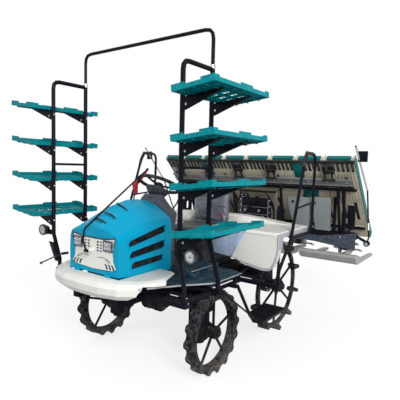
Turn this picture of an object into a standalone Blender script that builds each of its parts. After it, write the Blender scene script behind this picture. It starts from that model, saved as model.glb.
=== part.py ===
"""Eight-row riding rice transplanter with spare-seedling racks, parked with its planting unit raised.

Metres, +Z up. The machine's front faces -Y and its left-hand side is +X. The origin is on the ground,
on the centre line, half way between the front apron and the tails of the floats.
"""
import math

import bpy
import bmesh
from mathutils import Matrix, Vector

for old in list(bpy.data.objects):
    bpy.data.objects.remove(old, do_unlink=True)

# Clearances
SEAM = 0.0003            # between two fixed pieces that touch
RUN = 0.006              # between pieces that move past each other

# Running gear
FRONT_AXLE_Y = -0.90
REAR_AXLE_Y = 0.23
TRACK_X = 0.61           # half of the track, front and rear
FRONT_R = 0.325          # over the lugs
FRONT_TYRE = 0.063        # depth of the rubber ring, lugs included
FRONT_RIM_R = FRONT_R - FRONT_TYRE
FRONT_W = 0.090
FRONT_LUGS = 16
REAR_R = 0.450           # over the paddles
REAR_PADDLE_REACH = 0.058 # from the rim's tube out to the paddle tips
REAR_RIM_R = REAR_R - REAR_PADDLE_REACH
REAR_RIM_TUBE = 0.017
REAR_PADDLES = 10
REAR_PADDLE_W = 0.130
KINGPIN_X = 0.470
KINGPIN_R = 0.074
KINGPIN_RISE = 0.215     # top of the turning case above the wheel's centre
FRONT_HUB_IN = 0.034
REAR_HUB_IN = 0.036
STEER_ARM = 0.160
TIE_Z = 0.455
TIE_EYE = 0.0145         # half the height of the tie rod's eyes

# Chassis
RAIL_X = 0.22
RAIL_W = 0.050
RAIL_Z0 = 0.600
RAIL_Z1 = 0.680
CROSS_Z = 0.662          # underside of everything that reaches over the front wheels
FRAME_FRONT_Y = -1.575
FRAME_REAR_Y = 0.40
FLOOR_Z = 0.750
FLOOR_T = 0.018
FLOOR_RISE = 0.045       # height of the floor's raised middle
FLOOR_HALF = 0.668
STEP_Z = 0.385           # side step, at the middle of its tread

# Bonnet and apron
BONNET_FRONT_Y = -1.590
BONNET_REAR_Y = -1.030
BONNET_T = 0.012
BONNET_PIVOT_Y = BONNET_FRONT_Y - 0.045
APRON_TOP_Z = 0.826
BONNET_PIVOT_Z = APRON_TOP_Z - 0.005
MASK_T = 0.022           # depth of the pocket that the mask sits in
MASK_GAP = 0.003
MAST_Y = -1.6513
MAST_Z = 1.000
APRON_LOW_Z = 0.700
APRON_T = 0.014

# Driver's place
DASH_FRONT_Y = BONNET_REAR_Y + 0.014
DASH_X = 0.215
STEER_Y = -0.880
STEER_Z = 1.460
STEER_TILT = math.radians(25.0)
STEER_R = 0.180
SEAT_PIVOT_Y = -0.530
SEAT_PIVOT_Z = 0.975
SEAT_BASE_Z = 0.970
DECK_X = 0.950
DECK_FRONT_Y = -0.500
DECK_REAR_Y = 0.150
DECK_Z = 1.100
DECK_T = 0.055

# Racks for spare seedlings
POST_X = 0.686
POST_R = 0.017
POST_FRONT_Y = -1.444
POST_REAR_Y = -1.115
RACK_TOP_Z = 2.295
HOOP_RISE = 0.282        # from the racks' top rails to the hoop's
HOOP_TOP_Z = RACK_TOP_Z + HOOP_RISE
HOOP_R = 0.0135
SHELF_Z = (1.104, 1.397, 1.695, 1.991)     # lower ends of the brackets, lowest shelf first
SHELF_TILT = math.radians(6.9)             # the outer edge stands higher
SHELF_Y0 = -1.606
SHELF_LENGTH = 0.662
SHELF_X0 = 0.727
SHELF_WIDTH = 0.320
SHELF_RISE = 0.071
LAMP_Z = 1.044
LAMP_REACH = 0.114       # from the front post out to the lamp's middle
LAMP_R = 0.046

# Lift linkage, a parallelogram, drawn raised
LINK_PIVOT = (0.360, 0.620)                # y, z on the chassis
LINK_END = (0.800, 0.920)                  # y, z on the hitch
LINK_X = 0.160
TOP_LINK_RISE = 0.300

# Planting unit
ROLL_Z = 1.000
PLANTER_FRONT_Y = 0.911  # front face of the planting unit's middle case
BEAM_Y = 0.985
BEAM_Z = 0.920
BEAM_HALF = 1.16
STAGE_TOP = (0.607, 1.742)                 # y, z of the top edge
STAGE_LOW = (1.435, 0.875)                 # y, z of the bottom edge
STAGE_T = 0.022
ROWS = 8
ROW_PITCH = 0.300
STAGE_HALF = ROWS * ROW_PITCH / 2
RAIL_ALONG = (0.405, 1.020)   # the two rails, measured down the stage from its top edge
RAIL_GAP = 0.009         # between the stage's back and the top of a rail
ROTOR_Y = 1.520
ROTOR_Z = 0.710
ROTOR_CASE_X = (-0.90, -0.30, 0.30, 0.90)
SHAFT_R = 0.012
FLOAT_LOW_Z = 0.595
FLOAT_PIVOT_Y = 1.290
FLOAT_PIVOT_Z = 0.680
FLOAT_LUG_X = (-0.90, -0.30, 0.30, 0.90)
LUG_HALF = 0.008
MARKER_X = 1.265
MARKER_Z = 0.855
MARKER_EYE = 0.022       # half the length of the marker's hub


def finish(ob):
    ob.data.validate()
    bm = bmesh.new()
    bm.from_mesh(ob.data)
    bmesh.ops.recalc_face_normals(bm, faces=bm.faces)
    bm.to_mesh(ob.data)
    bm.free()
    return ob


def raw(verts, faces):
    me = bpy.data.meshes.new("piece")
    me.from_pydata([tuple(v) for v in verts], [], faces)
    ob = bpy.data.objects.new("piece", me)
    bpy.context.scene.collection.objects.link(ob)
    return finish(ob)


def box(x0, x1, y0, y1, z0, z1, round_by=0.0, segments=1):
    v = [(x, y, z) for x in (x0, x1) for y in (y0, y1) for z in (z0, z1)]
    f = [(0, 1, 3, 2), (4, 6, 7, 5), (0, 4, 5, 1), (2, 3, 7, 6), (0, 2, 6, 4), (1, 5, 7, 3)]
    ob = raw(v, f)
    if round_by:
        bevel(ob, round_by, segments)
    return ob


def bevel(ob, width, segments=2, angle=30.0):
    bm = bmesh.new()
    bm.from_mesh(ob.data)
    edges = [e for e in bm.edges if e.calc_face_angle(0.0) > math.radians(angle)]
    bmesh.ops.bevel(bm, geom=edges, offset=width, segments=segments, profile=0.5, affect='EDGES')
    bm.to_mesh(ob.data)
    bm.free()
    return finish(ob)


def prism(outline, axis, low, high, round_by=0.0, segments=1):
    """Extrudes an outline along an axis: (y, z) along x, (x, z) along y, (x, y) along z."""
    def place(p, d):
        if axis == 'x':
            return (d, p[0], p[1])
        if axis == 'y':
            return (p[0], d, p[1])
        return (p[0], p[1], d)
    n = len(outline)
    v = [place(p, low) for p in outline] + [place(p, high) for p in outline]
    f = [tuple(range(n)), tuple(range(n, 2 * n))]
    f += [(i, (i + 1) % n, n + (i + 1) % n, n + i) for i in range(n)]
    ob = raw(v, f)
    if round_by:
        bevel(ob, round_by, segments)
    return ob


def loft(sections, closed=False):
    """Skins rings that have the same number of points."""
    n = len(sections[0])
    m = len(sections)
    v = [p for s in sections for p in s]
    f = []
    for k in range(m if closed else m - 1):
        a = k * n
        b = ((k + 1) % m) * n
        f += [(a + i, a + (i + 1) % n, b + (i + 1) % n, b + i) for i in range(n)]
    if not closed:
        f.append(tuple(range(n)))
        f.append(tuple(range((m - 1) * n, m * n)))
    return raw(v, f)


def tube(points, radius, bend=0.05, n=8, closed=False, steps=3):
    """A round tube along a path whose corners are rounded by the bend radius."""
    pts = [Vector(p) for p in points]
    path = []
    count = len(pts)
    for i, p in enumerate(pts):
        if not closed and i in (0, count - 1):
            path.append(p)
            continue
        a = (pts[i - 1] - p)
        b = (pts[(i + 1) % count] - p)
        turn = math.pi - a.angle(b)
        if turn < 0.02 or bend <= 0.0:
            path.append(p)
            continue
        cut = min(bend * math.tan(turn / 2), 0.45 * a.length, 0.45 * b.length)
        start = p + a.normalized() * cut
        end = p + b.normalized() * cut
        for k in range(steps + 1):
            t = k / steps
            path.append(start * (1 - t) ** 2 + p * (2 * t * (1 - t)) + end * t ** 2)
    rings = []
    total = len(path)
    side = None
    for i, p in enumerate(path):
        before = path[i - 1] if (i or closed) else p
        after = path[(i + 1) % total] if (i < total - 1 or closed) else p
        ahead = (after - before).normalized()
        if side is None:
            side = ahead.cross(Vector((0.31, 0.22, 0.93)))
            if side.length < 0.2:
                side = ahead.cross(Vector((1.0, 0.0, 0.0)))
            side.normalize()
        side = (side - ahead * side.dot(ahead)).normalized()
        up = ahead.cross(side)
        rings.append([p + (side * math.cos(t) + up * math.sin(t)) * radius
                      for t in (2 * math.pi * j / n for j in range(n))])
    return loft(rings, closed)


def rod(a, b, radius, n=10):
    return tube([a, b], radius, 0.0, n)


def turned(profile, centre, axis, n=20):
    """Turns a closed (radius, offset) profile about an axis through a centre."""
    ahead = Vector(axis).normalized()
    side = ahead.cross(Vector((0.0, 0.0, 1.0)))
    if side.length < 0.1:
        side = ahead.cross(Vector((0.0, 1.0, 0.0)))
    side.normalize()
    up = ahead.cross(side)
    c = Vector(centre)
    rings = []
    for k in range(n):
        t = 2 * math.pi * k / n
        d = side * math.cos(t) + up * math.sin(t)
        rings.append([c + d * r + ahead * o for r, o in profile])
    return loft(rings, True)


def disc(centre, axis, radius, low, high, n=16):
    a = Vector(centre) + Vector(axis).normalized() * low
    b = Vector(centre) + Vector(axis).normalized() * high
    return rod(a, b, radius, n)


def moved(ob, matrix):
    ob.data.transform(matrix)
    return ob


def merge(ob, others, operation):
    if not others:
        return
    group = bpy.data.collections.new("operands")
    bpy.context.scene.collection.children.link(group)
    for other in others:
        bpy.context.scene.collection.objects.unlink(other)
        group.objects.link(other)
    mod = ob.modifiers.new("merge", 'BOOLEAN')
    mod.operation = operation
    mod.operand_type = 'COLLECTION'
    mod.collection = group
    mod.solver = 'EXACT'
    graph = bpy.context.evaluated_depsgraph_get()
    me = bpy.data.meshes.new_from_object(ob.evaluated_get(graph))
    ob.modifiers.clear()
    ob.data = me
    for other in others:
        bpy.data.objects.remove(other, do_unlink=True)
    bpy.data.collections.remove(group)


MATERIALS = {}


def paint(name, colour, roughness, metallic=0.0):
    mat = bpy.data.materials.new(name)
    mat.use_nodes = True
    bsdf = mat.node_tree.nodes["Principled BSDF"]
    bsdf.inputs["Base Color"].default_value = (*colour, 1.0)
    bsdf.inputs["Roughness"].default_value = roughness
    bsdf.inputs["Metallic"].default_value = metallic
    MATERIALS[name] = mat


def node(name, material, parts, cuts=(), origin=(0.0, 0.0, 0.0)):
    """Fuses parts into one closed body, takes the cuts out of it and names it."""
    ob = parts[0]
    merge(ob, parts[1:], 'UNION')
    merge(ob, list(cuts), 'DIFFERENCE')
    ob.name = name
    ob.data.name = name
    ob.data.materials.clear()
    ob.data.materials.append(MATERIALS[material])
    bm = bmesh.new()
    bm.from_mesh(ob.data)
    bmesh.ops.remove_doubles(bm, verts=bm.verts, dist=0.00002)
    bmesh.ops.dissolve_degenerate(bm, edges=bm.edges, dist=0.00001)
    bm.to_mesh(ob.data)
    bm.free()
    ob.data.shade_smooth()
    ob.data.set_sharp_from_angle(angle=math.radians(32))
    ob.data.transform(Matrix.Translation(-Vector(origin)))
    ob.location = origin
    return ob


paint("black_tube", (0.012, 0.013, 0.016), 0.38)
paint("black_casting", (0.016, 0.018, 0.022), 0.55)
paint("wheel_rubber", (0.020, 0.020, 0.019), 0.85)
paint("blue_bonnet", (0.0, 0.37, 0.66), 0.30)
paint("cream_plastic", (0.83, 0.81, 0.77), 0.38)
paint("floor_teal", (0.010, 0.095, 0.125), 0.60)
paint("grey_plastic", (0.19, 0.20, 0.23), 0.50)
paint("tray_teal", (0.0, 0.30, 0.36), 0.42)
paint("seat_grey", (0.17, 0.19, 0.23), 0.35)
paint("stage_beige", (0.42, 0.38, 0.30), 0.55)
paint("board_slate", (0.045, 0.070, 0.125), 0.50)
paint("float_grey", (0.42, 0.42, 0.40), 0.45)
paint("steel_grey", (0.24, 0.25, 0.26), 0.40, 0.8)

X = (1.0, 0.0, 0.0)
Y = (0.0, 1.0, 0.0)
Z = (0.0, 0.0, 1.0)
SIDES = (("left", 1.0), ("right", -1.0))


def lugged_ring(cx, cy, cz, outer, root, inner, width, lugs, pointed):
    """A rubber ring whose lugs form chevrons; pointed lugs are narrower at the tip."""
    pattern = (outer, outer, root, root)
    steps = lugs * len(pattern)
    rings = []
    for k in range(steps):
        t = 2 * math.pi * k / steps
        r = pattern[k % len(pattern)]
        half = width / 2 if r == root else width / 2 * pointed
        mid = t + math.pi / steps * 1.6
        ring = []
        for x, rr, a in ((-half, r, t), (0.0, r, mid), (half, r, t), (width / 2 * 0.8, inner, t),
                         (-width / 2 * 0.8, inner, t)):
            ring.append((cx + x, cy + rr * math.cos(a), cz + rr * math.sin(a)))
        rings.append(ring)
    return loft(rings, True)


# Front wheels: a rubber ring with chevron lugs on a narrow rim, five round spokes and a hub
def front_wheel(label, sx):
    cx = sx * TRACK_X
    c = (cx, FRONT_AXLE_Y, FRONT_R)
    parts = [lugged_ring(cx, FRONT_AXLE_Y, FRONT_R, FRONT_R, FRONT_R - 0.030, FRONT_RIM_R, FRONT_W,
                         FRONT_LUGS, 1.0)]
    parts.append(disc(c, X, 0.052, *sorted((sx * -FRONT_HUB_IN, sx * 0.040))))
    for k in range(5):
        t = 2 * math.pi * (k + 0.25) / 5
        tip = (cx, FRONT_AXLE_Y + 0.275 * math.cos(t), FRONT_R + 0.275 * math.sin(t))
        parts.append(rod((cx, FRONT_AXLE_Y + 0.03 * math.cos(t), FRONT_R + 0.03 * math.sin(t)), tip, 0.011, 8))
    node("wheel_front_" + label, "wheel_rubber", parts, origin=c)


# Rear wheels: a thin tube rim with small teeth and large paddles, six spokes and a hub
def rear_wheel(label, sx):
    cx = sx * TRACK_X
    c = (cx, REAR_AXLE_Y, REAR_R)
    parts = [lugged_ring(cx, REAR_AXLE_Y, REAR_R, REAR_RIM_R + 0.030, REAR_RIM_R + 0.018,
                         REAR_RIM_R - REAR_RIM_TUBE, 2 * REAR_RIM_TUBE, 12, 0.8)]
    parts.append(disc(c, X, 0.060, *sorted((sx * -REAR_HUB_IN, sx * 0.046))))
    for k in range(REAR_PADDLES):
        t = 2 * math.pi * (k + 0.5) / REAR_PADDLES
        rings = []
        for r, half, thick in ((REAR_RIM_R - 0.010, 0.022, 0.026), (REAR_R - 0.028, REAR_PADDLE_W / 2, 0.017),
                               (REAR_R, REAR_PADDLE_W / 2 * 0.86, 0.008)):
            ring = []
            for x, d in ((-half, -thick), (half, -thick), (half, thick), (-half, thick)):
                ring.append((cx + x, REAR_AXLE_Y + r * math.cos(t) - d * math.sin(t),
                             REAR_R + r * math.sin(t) + d * math.cos(t)))
            rings.append(ring)
        parts.append(loft(rings))
    for k in range(6):
        t = 2 * math.pi * (k + 0.4) / 6
        parts.append(rod((cx, REAR_AXLE_Y + 0.03 * math.cos(t), REAR_R + 0.03 * math.sin(t)),
                         (cx, REAR_AXLE_Y + REAR_RIM_R * math.cos(t), REAR_R + REAR_RIM_R * math.sin(t)), 0.012, 8))
    node("wheel_rear_" + label, "wheel_rubber", parts, origin=c)


# Front final cases: each turns on its kingpin, carries a wheel and has a steering arm behind it
def knuckle(label, sx):
    kx = sx * KINGPIN_X
    c = (kx, FRONT_AXLE_Y, FRONT_R)
    stub = TRACK_X - FRONT_HUB_IN - SEAM - KINGPIN_X
    parts = [disc(c, Z, KINGPIN_R, -0.085, KINGPIN_RISE)]
    parts.append(disc(c, Z, KINGPIN_R + 0.012, KINGPIN_RISE - 0.040, KINGPIN_RISE - 0.010))
    parts.append(disc(c, Z, KINGPIN_R * 0.62, -0.115, -0.070))
    parts.append(disc(c, X, 0.068, *sorted((sx * -0.055, sx * (stub - 0.018)))))
    parts.append(disc(c, X, 0.040, *sorted((0.0, sx * stub))))
    arm = [(kx - 0.024, FRONT_AXLE_Y), (kx + 0.024, FRONT_AXLE_Y),
           (kx + 0.018, FRONT_AXLE_Y + STEER_ARM + 0.018), (kx - 0.018, FRONT_AXLE_Y + STEER_ARM + 0.018)]
    parts.append(prism(arm, 'z', TIE_Z - TIE_EYE - SEAM - 0.018, TIE_Z - TIE_EYE - SEAM))
    node("front_gear_case_" + label, "black_casting", parts, origin=c)


for label, sx in SIDES:
    front_wheel(label, sx)
    rear_wheel(label, sx)
    knuckle(label, sx)

# Tie rod behind the axle, with an eye at each end
ty = FRONT_AXLE_Y + STEER_ARM
parts = [rod((-KINGPIN_X, ty, TIE_Z), (KINGPIN_X, ty, TIE_Z), 0.0095, 10)]
for sx in (1, -1):
    parts.append(disc((sx * KINGPIN_X, ty, TIE_Z), Z, 0.019, -TIE_EYE, TIE_EYE, 16))
node("tie_rod", "black_tube", parts, origin=(KINGPIN_X, ty, TIE_Z))

# Front axle: a beam over the gear cases with the differential case hanging in its middle
axle_z = FRONT_R + KINGPIN_RISE + SEAM
parts = [box(-KINGPIN_X + 0.03, KINGPIN_X - 0.03, FRONT_AXLE_Y - 0.045, FRONT_AXLE_Y + 0.045, axle_z + 0.010,
             RAIL_Z0 - SEAM, 0.012)]
for sx in (1, -1):
    parts.append(disc((sx * KINGPIN_X, FRONT_AXLE_Y, axle_z), Z, KINGPIN_R + 0.010, 0.0, 0.065))
parts.append(turned([(0.0001, -0.130), (0.060, -0.130), (0.090, -0.070), (0.098, 0.0), (0.090, 0.070), (0.060, 0.130),
                     (0.0001, 0.130)], (0.0, FRONT_AXLE_Y, 0.470), X, 16))
parts.append(disc((0.0, FRONT_AXLE_Y, 0.47), Z, 0.060, 0.0, 0.125))
node("front_axle", "black_casting", parts)

# Main frame: two rails, cross members, outriggers for the racks, steps and handrails
parts = []
for sx in (1, -1):
    parts.append(box(sx * RAIL_X - RAIL_W / 2, sx * RAIL_X + RAIL_W / 2, FRAME_FRONT_Y, FRAME_REAR_Y, RAIL_Z0, RAIL_Z1))
for y in (FRAME_FRONT_Y + 0.03, -1.385, -0.965, -0.540, 0.02, FRAME_REAR_Y - 0.10):
    half = {-1.385: POST_X + 0.03, -0.965: POST_X + 0.03, -0.540: 0.995}.get(y, RAIL_X)
    parts.append(box(-half, half, y - 0.022, y + 0.022, CROSS_Z, RAIL_Z1 + 0.010))
for sx in (1, -1):
    x = sx * (FLOOR_HALF - 0.03)
    parts.append(box(x - 0.014, x + 0.014, -1.385, -0.540, CROSS_Z, RAIL_Z1 + 0.004))
    # Mast at the rear that carries the lift links
    parts.append(box(sx * 0.22 - 0.024, sx * 0.22 + 0.024, FRAME_REAR_Y - 0.075, FRAME_REAR_Y - 0.02, RAIL_Z0, 1.000))
    # Side step under the floor's edge
    sxx = sx * 0.72
    tread = [(0.705, -0.200), (0.905, -0.200), (0.905, -0.630), (0.820, -0.645), (0.705, -0.520)]
    parts.append(tube([(sxx, -0.725, RAIL_Z1 - 0.01), (sxx, -0.51, STEP_Z - 0.012), (sxx, -0.20, STEP_Z - 0.012)], 0.014, 0.03))
    parts.append(tube([(sx * 0.715, -0.945, RAIL_Z1 - 0.005), (sx * 0.860, -0.620, STEP_Z)], 0.007, 0.0))
    parts.append(prism([(sx * x, y) for x, y in tread], 'z', STEP_Z - 0.009, STEP_Z + 0.013))
    parts.append(box(min(sx * 0.64, sxx), max(sx * 0.64, sxx), -0.76, -0.71, CROSS_Z, RAIL_Z1 + 0.004))
    parts.append(box(min(sx * 0.64, sxx), max(sx * 0.64, sxx), -0.95, -0.91, CROSS_Z, RAIL_Z1 + 0.004))
    # Pin and inner lug of the lower link
    y, z = LINK_PIVOT
    parts.append(disc((sx * LINK_X, y, z), X, 0.017, *sorted((sx * (0.019 + SEAM), sx * 0.045))))
    parts.append(box(*sorted((sx * 0.123, sx * 0.135)), FRAME_REAR_Y - 0.11, y + 0.022, z - 0.022, RAIL_Z1))
    parts.append(box(*sorted((sx * 0.123, sx * 0.23)), FRAME_REAR_Y - 0.12, FRAME_REAR_Y - 0.08, z - 0.022, RAIL_Z1))
parts.append(rod((-0.23, FRAME_REAR_Y - 0.045, 0.978), (0.23, FRAME_REAR_Y - 0.045, 0.978), 0.016))
for sx in (1, -1):
    parts.append(box(sx * 0.030 - 0.005, sx * 0.030 + 0.005, FRAME_REAR_Y - 0.075, FRAME_REAR_Y - 0.014, 0.895, 0.975))
    # Boss that the top link turns against
    y = LINK_PIVOT[0]
    z = LINK_PIVOT[1] + TOP_LINK_RISE
    parts.append(disc((0.0, y, z), X, 0.014, *sorted((sx * (0.018 + SEAM), sx * 0.030))))
    # Post under the rear cover, tab under the apron and rubber mounts under the floor
    parts.append(tube([(sx * 0.60, -0.540, RAIL_Z1), (sx * 0.60, -0.370, 0.750), (sx * 0.60, -0.370, DECK_Z - DECK_T - SEAM)],
                      0.014, 0.04))
    tab_y = BONNET_FRONT_Y - 0.050
    parts.append(box(*sorted((sx * 0.15, sx * 0.19)), tab_y, FRAME_FRONT_Y + 0.040, RAIL_Z1 - 0.004, RAIL_Z1 + 0.010))
    parts.append(box(*sorted((sx * 0.15, sx * 0.19)), tab_y, tab_y + 0.012, RAIL_Z1 - 0.004, APRON_TOP_Z - APRON_T - SEAM))
    for x, y in ((0.638, -0.900), (0.638, -0.640), (0.220, -1.250), (0.220, -0.700)):
        parts.append(disc((sx * x, y, 0.0), Z, 0.018, CROSS_Z, FLOOR_Z - FLOOR_T - SEAM, 10))
# Pedestal under the seat
parts.append(box(-0.235, 0.235, -0.545, -0.030, RAIL_Z1 - 0.01, SEAT_BASE_Z - SEAM, 0.02))
# Handrail loops beside the rear cover
for sx in (1, -1):
    hx = sx * 0.978
    parts.append(tube([(hx, -0.540, RAIL_Z1 - 0.02), (hx, -0.534, 0.80), (hx, -0.323, 1.028), (hx, -0.095, 1.690),
                       (hx, -0.050, 1.760), (hx, 0.155, 1.760), (hx, 0.138, 1.137), (hx, 0.060, 1.035),
                       (hx, -0.315, 1.035)], 0.0135, 0.07, 8))
    parts.append(rod((hx, -0.232, 1.286), (hx, 0.144, 1.318), 0.009, 10))
node("main_frame", "black_tube", parts)

# Engine, as one plain block between the rails
node("engine_block", "black_casting", [box(-0.185, 0.185, -1.50, -1.13, RAIL_Z1 + 0.0103, 1.045, 0.012),
                                      box(-0.150, 0.150, -1.350, -1.17, RAIL_Z0 - 0.03, RAIL_Z1 + 0.05, 0.010)])

# Gearbox and rear axle: centre case, axle tubes and the final cases inside the rear wheels
parts = [box(-0.180, 0.180, -0.62, 0.30, 0.44, RAIL_Z0 - SEAM, 0.03)]
for y in (-0.54, 0.10):
    parts.append(box(-RAIL_X - 0.015, RAIL_X + 0.015, y - 0.045, y + 0.045, RAIL_Z0 - 0.022, RAIL_Z0 - SEAM))
parts.append(disc((0, REAR_AXLE_Y, 0.530), X, 0.062, -0.50, 0.50))
for sx in (1, -1):
    case = []
    for t in range(0, 360, 30):
        a = math.radians(t)
        top = math.sin(a) > 0
        case.append((REAR_AXLE_Y + 0.085 * math.cos(a), (0.550 if top else REAR_R) + 0.085 * math.sin(a)))
    x0, x1 = sorted((sx * 0.455, sx * 0.525))
    parts.append(prism(case, 'x', x0, x1))
    parts.append(disc((sx * 0.5, REAR_AXLE_Y, REAR_R), X, 0.040,
                      *sorted((0.0, sx * (TRACK_X - REAR_HUB_IN - SEAM - 0.5)))))
node("transmission", "black_casting", parts)


# Apron: a rounded cream shell under the bonnet, open below
def apron_outline(grow):
    pts = [(0.0, -1.722), (0.19, -1.712), (0.34, -1.672), (0.45, -1.585), (0.512, -1.470), (0.532, -1.385),
           (0.490, -1.290), (0.448, -1.185)]
    out = []
    for x, y in pts:
        out.append((x - grow if x else 0.0, y + grow * (1.0 if x < 0.5 else 0.35)))
    return out


def apron_ring(z, grow, rear):
    pts = apron_outline(grow)
    pts[-1] = (pts[-1][0], rear)
    return ([(-x, y, z) for x, y in reversed(pts[1:])] + [(x, y, z) for x, y in pts])


outer = loft([apron_ring(APRON_LOW_Z, 0.030, -1.200), apron_ring(APRON_LOW_Z + 0.035, 0.004, -1.190),
              apron_ring(APRON_TOP_Z - 0.045, 0.0, -1.180), apron_ring(APRON_TOP_Z - 0.012, 0.018, -1.175),
              apron_ring(APRON_TOP_Z, 0.045, -1.175)])
inner = loft([apron_ring(APRON_LOW_Z - 0.02, 0.030 + APRON_T, -1.0), apron_ring(APRON_LOW_Z + 0.035, 0.004 + APRON_T, -1.0),
              apron_ring(APRON_TOP_Z - APRON_T, 0.030 + APRON_T, -1.0)])
hatch = box(-0.285, 0.285, BONNET_FRONT_Y - 0.012, -1.10, 0.70, 0.90)
# Behind its bolts the skirt is cut away up to a narrow band, and further back only the top is left
under = prism([(-1.600, 0.680), (-1.583, 0.754), (-1.548, 0.798), (-1.392, 0.786), (-1.350, APRON_TOP_Z - APRON_T),
               (-1.000, APRON_TOP_Z - APRON_T), (-1.000, 0.680)], 'x', -0.60, 0.60)
node("front_apron", "cream_plastic", [outer], [inner, hatch, under])


# Bonnet: an arched hollow shell with three wide louvres in each side, tipping forward on its lower front edge
BONNET_SECTIONS = (          # y, half width, lower edge, shoulder, crown
    (BONNET_FRONT_Y, 0.262, 0.832, 1.112, 1.175), (BONNET_FRONT_Y + 0.025, 0.264, 0.829, 1.122, 1.204),
    (-1.500, 0.268, 0.824, 1.140, 1.250), (-1.390, 0.271, 0.817, 1.166, 1.315), (-1.270, 0.272, 0.811, 1.182, 1.345),
    (-1.150, 0.272, 0.805, 1.192, 1.346), (BONNET_REAR_Y, 0.270, 0.793, 1.196, 1.328))
ARCH = (0.93, 0.80, 0.60, 0.35)      # shares of the half width at which the arch has points


def bonnet_ring(y, half, low, shoulder, crown, inset):
    w = half - inset
    pts = [(w, low), (w + 0.004, (low + shoulder) / 2), (w, shoulder - 0.035)]
    for share in ARCH:
        pts.append((w * share, shoulder + (crown - shoulder) * (1.0 - share ** 1.45) - inset))
    pts.append((0.0, crown - inset))
    left = [(-x, z) for x, z in reversed(pts[:-1])]
    return [(x, y, z) for x, z in pts + left]


def mask_outline(grow):
    half = [(0.0, 1.082), (0.120, 1.086), (0.234, 1.103), (0.221, 1.060), (0.205, 1.000), (0.213, 0.940), (0.243, 0.884),
            (0.200, 0.868), (0.0, 0.857)]
    out = []
    for x, z in half:
        out.append((x + grow if x else 0.0, z + (grow if z > 1.07 else (-grow if z < 0.90 else 0.0))))
    return out + [(-x, z) for x, z in reversed(out[1:-1])]


outer = loft([bonnet_ring(*section, 0.0) for section in BONNET_SECTIONS])
ears = [box(*sorted((sx * 0.150, sx * 0.185)), BONNET_FRONT_Y - 0.024, BONNET_FRONT_Y + 0.010, APRON_TOP_Z + SEAM,
            APRON_TOP_Z + 0.015) for sx in (1, -1)]
rings = []
for i, (y, half, low, shoulder, crown) in enumerate(BONNET_SECTIONS):
    if i == 0:
        y += MASK_T + BONNET_T
        shoulder += 0.008
        crown += 0.036
    if i == 1:
        continue
    if i == len(BONNET_SECTIONS) - 1:
        y += 0.05
    rings.append(bonnet_ring(y, half, low - 0.05, shoulder, crown, BONNET_T))
inner = loft(rings)
cuts = [prism(mask_outline(MASK_GAP), 'y', BONNET_FRONT_Y - 0.01, BONNET_FRONT_Y + MASK_T)]
LOUVRES = (                  # front end: y, low z, high z; rear end: y, low z, high z
    (-1.496, 1.034, 1.091, -1.111, 1.099, 1.163), (-1.485, 0.951, 1.000, -1.114, 0.984, 1.047),
    (-1.467, 0.872, 0.921, -1.132, 0.888, 0.935))
for sx in (1, -1):
    for y0, low0, high0, y1, low1, high1 in LOUVRES:
        slot = [(y0, low0), (y1 - 0.012, low1), (y1, low1 + 0.010), (y1, high1), (y0 + 0.022, high0), (y0, high0 - 0.016)]
        cuts.append(prism(slot, 'x', *sorted((sx * 0.20, sx * 0.32))))
# Three slits across the top, beside the ridge
for x0, y, z in ((0.002, -1.372, 1.300), (0.002, -1.487, 1.235), (-0.025, -1.555, 1.205)):
    cuts.append(box(x0, x0 + 0.115, y - 0.007, y + 0.007, z - 0.060, z + 0.060))
merge(outer, [inner], 'DIFFERENCE')
node("bonnet", "blue_bonnet", [outer] + ears, cuts, origin=(0.0, BONNET_PIVOT_Y, BONNET_PIVOT_Z))

# Grille mask, set into the bonnet's front, with its two square headlamps and the boss that carries the mast
mask_y = BONNET_FRONT_Y + 0.002
parts = [prism(mask_outline(0.0), 'y', mask_y, BONNET_FRONT_Y + MASK_T - SEAM, 0.005)]
for sx in (1, -1):
    parts.append(box(*sorted((sx * 0.122, sx * 0.204)), mask_y - 0.006, mask_y + 0.010, 1.010, 1.078, 0.004))
parts.append(rod((0.0, MAST_Y + 0.011 + SEAM, MAST_Z), (0.0, mask_y + 0.006, MAST_Z), 0.014, 12))
node("grille_mask", "cream_plastic", parts, origin=(0.0, BONNET_FRONT_Y, MAST_Z))

# Guide mast: a thin rod from the grille that leans back over the bonnet
mast_foot = (0.0, MAST_Y, MAST_Z)
parts = [tube([mast_foot, (0.0, -1.678, 1.075), (0.0, -1.668, 1.160), (0.0, -1.194, 1.478), (0.0, -1.030, 1.586)], 0.0065,
              0.04, 8)]
parts.append(rod((-0.016, MAST_Y, MAST_Z), (0.016, MAST_Y, MAST_Z), 0.011, 12))
node("guide_mast", "black_tube", parts, origin=mast_foot)

# Instrument panel and steering column
panel_low = FLOOR_Z + FLOOR_RISE + SEAM
panel = [(DASH_FRONT_Y, panel_low), (DASH_FRONT_Y, 1.262), (-0.998, 1.340), (-0.968, 1.383), (-0.925, 1.372), (-0.893, 1.310),
         (-0.893, 1.215), (-0.915, 1.130), (-0.915, panel_low)]
cowl = prism(panel, 'x', -DASH_X - 0.03, DASH_X + 0.03)
front = [(DASH_X, panel_low), (DASH_X, 1.235), (0.157, 1.276), (0.116, 1.312), (0.102, 1.350), (0.086, 1.390)]
merge(cowl, [prism(front + [(-x, z) for x, z in reversed(front)], 'y', DASH_FRONT_Y - 0.01, -0.70)], 'INTERSECT')
bevel(cowl, 0.006, 1)
parts = [cowl]
axis = Vector((0.0, math.sin(STEER_TILT), math.cos(STEER_TILT)))
hub = Vector((0.0, STEER_Y, STEER_Z))
parts.append(rod(hub - axis * 0.16, hub - axis * (0.035 + SEAM), 0.024, 14))
node("dash_column", "grey_plastic", parts)

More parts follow.
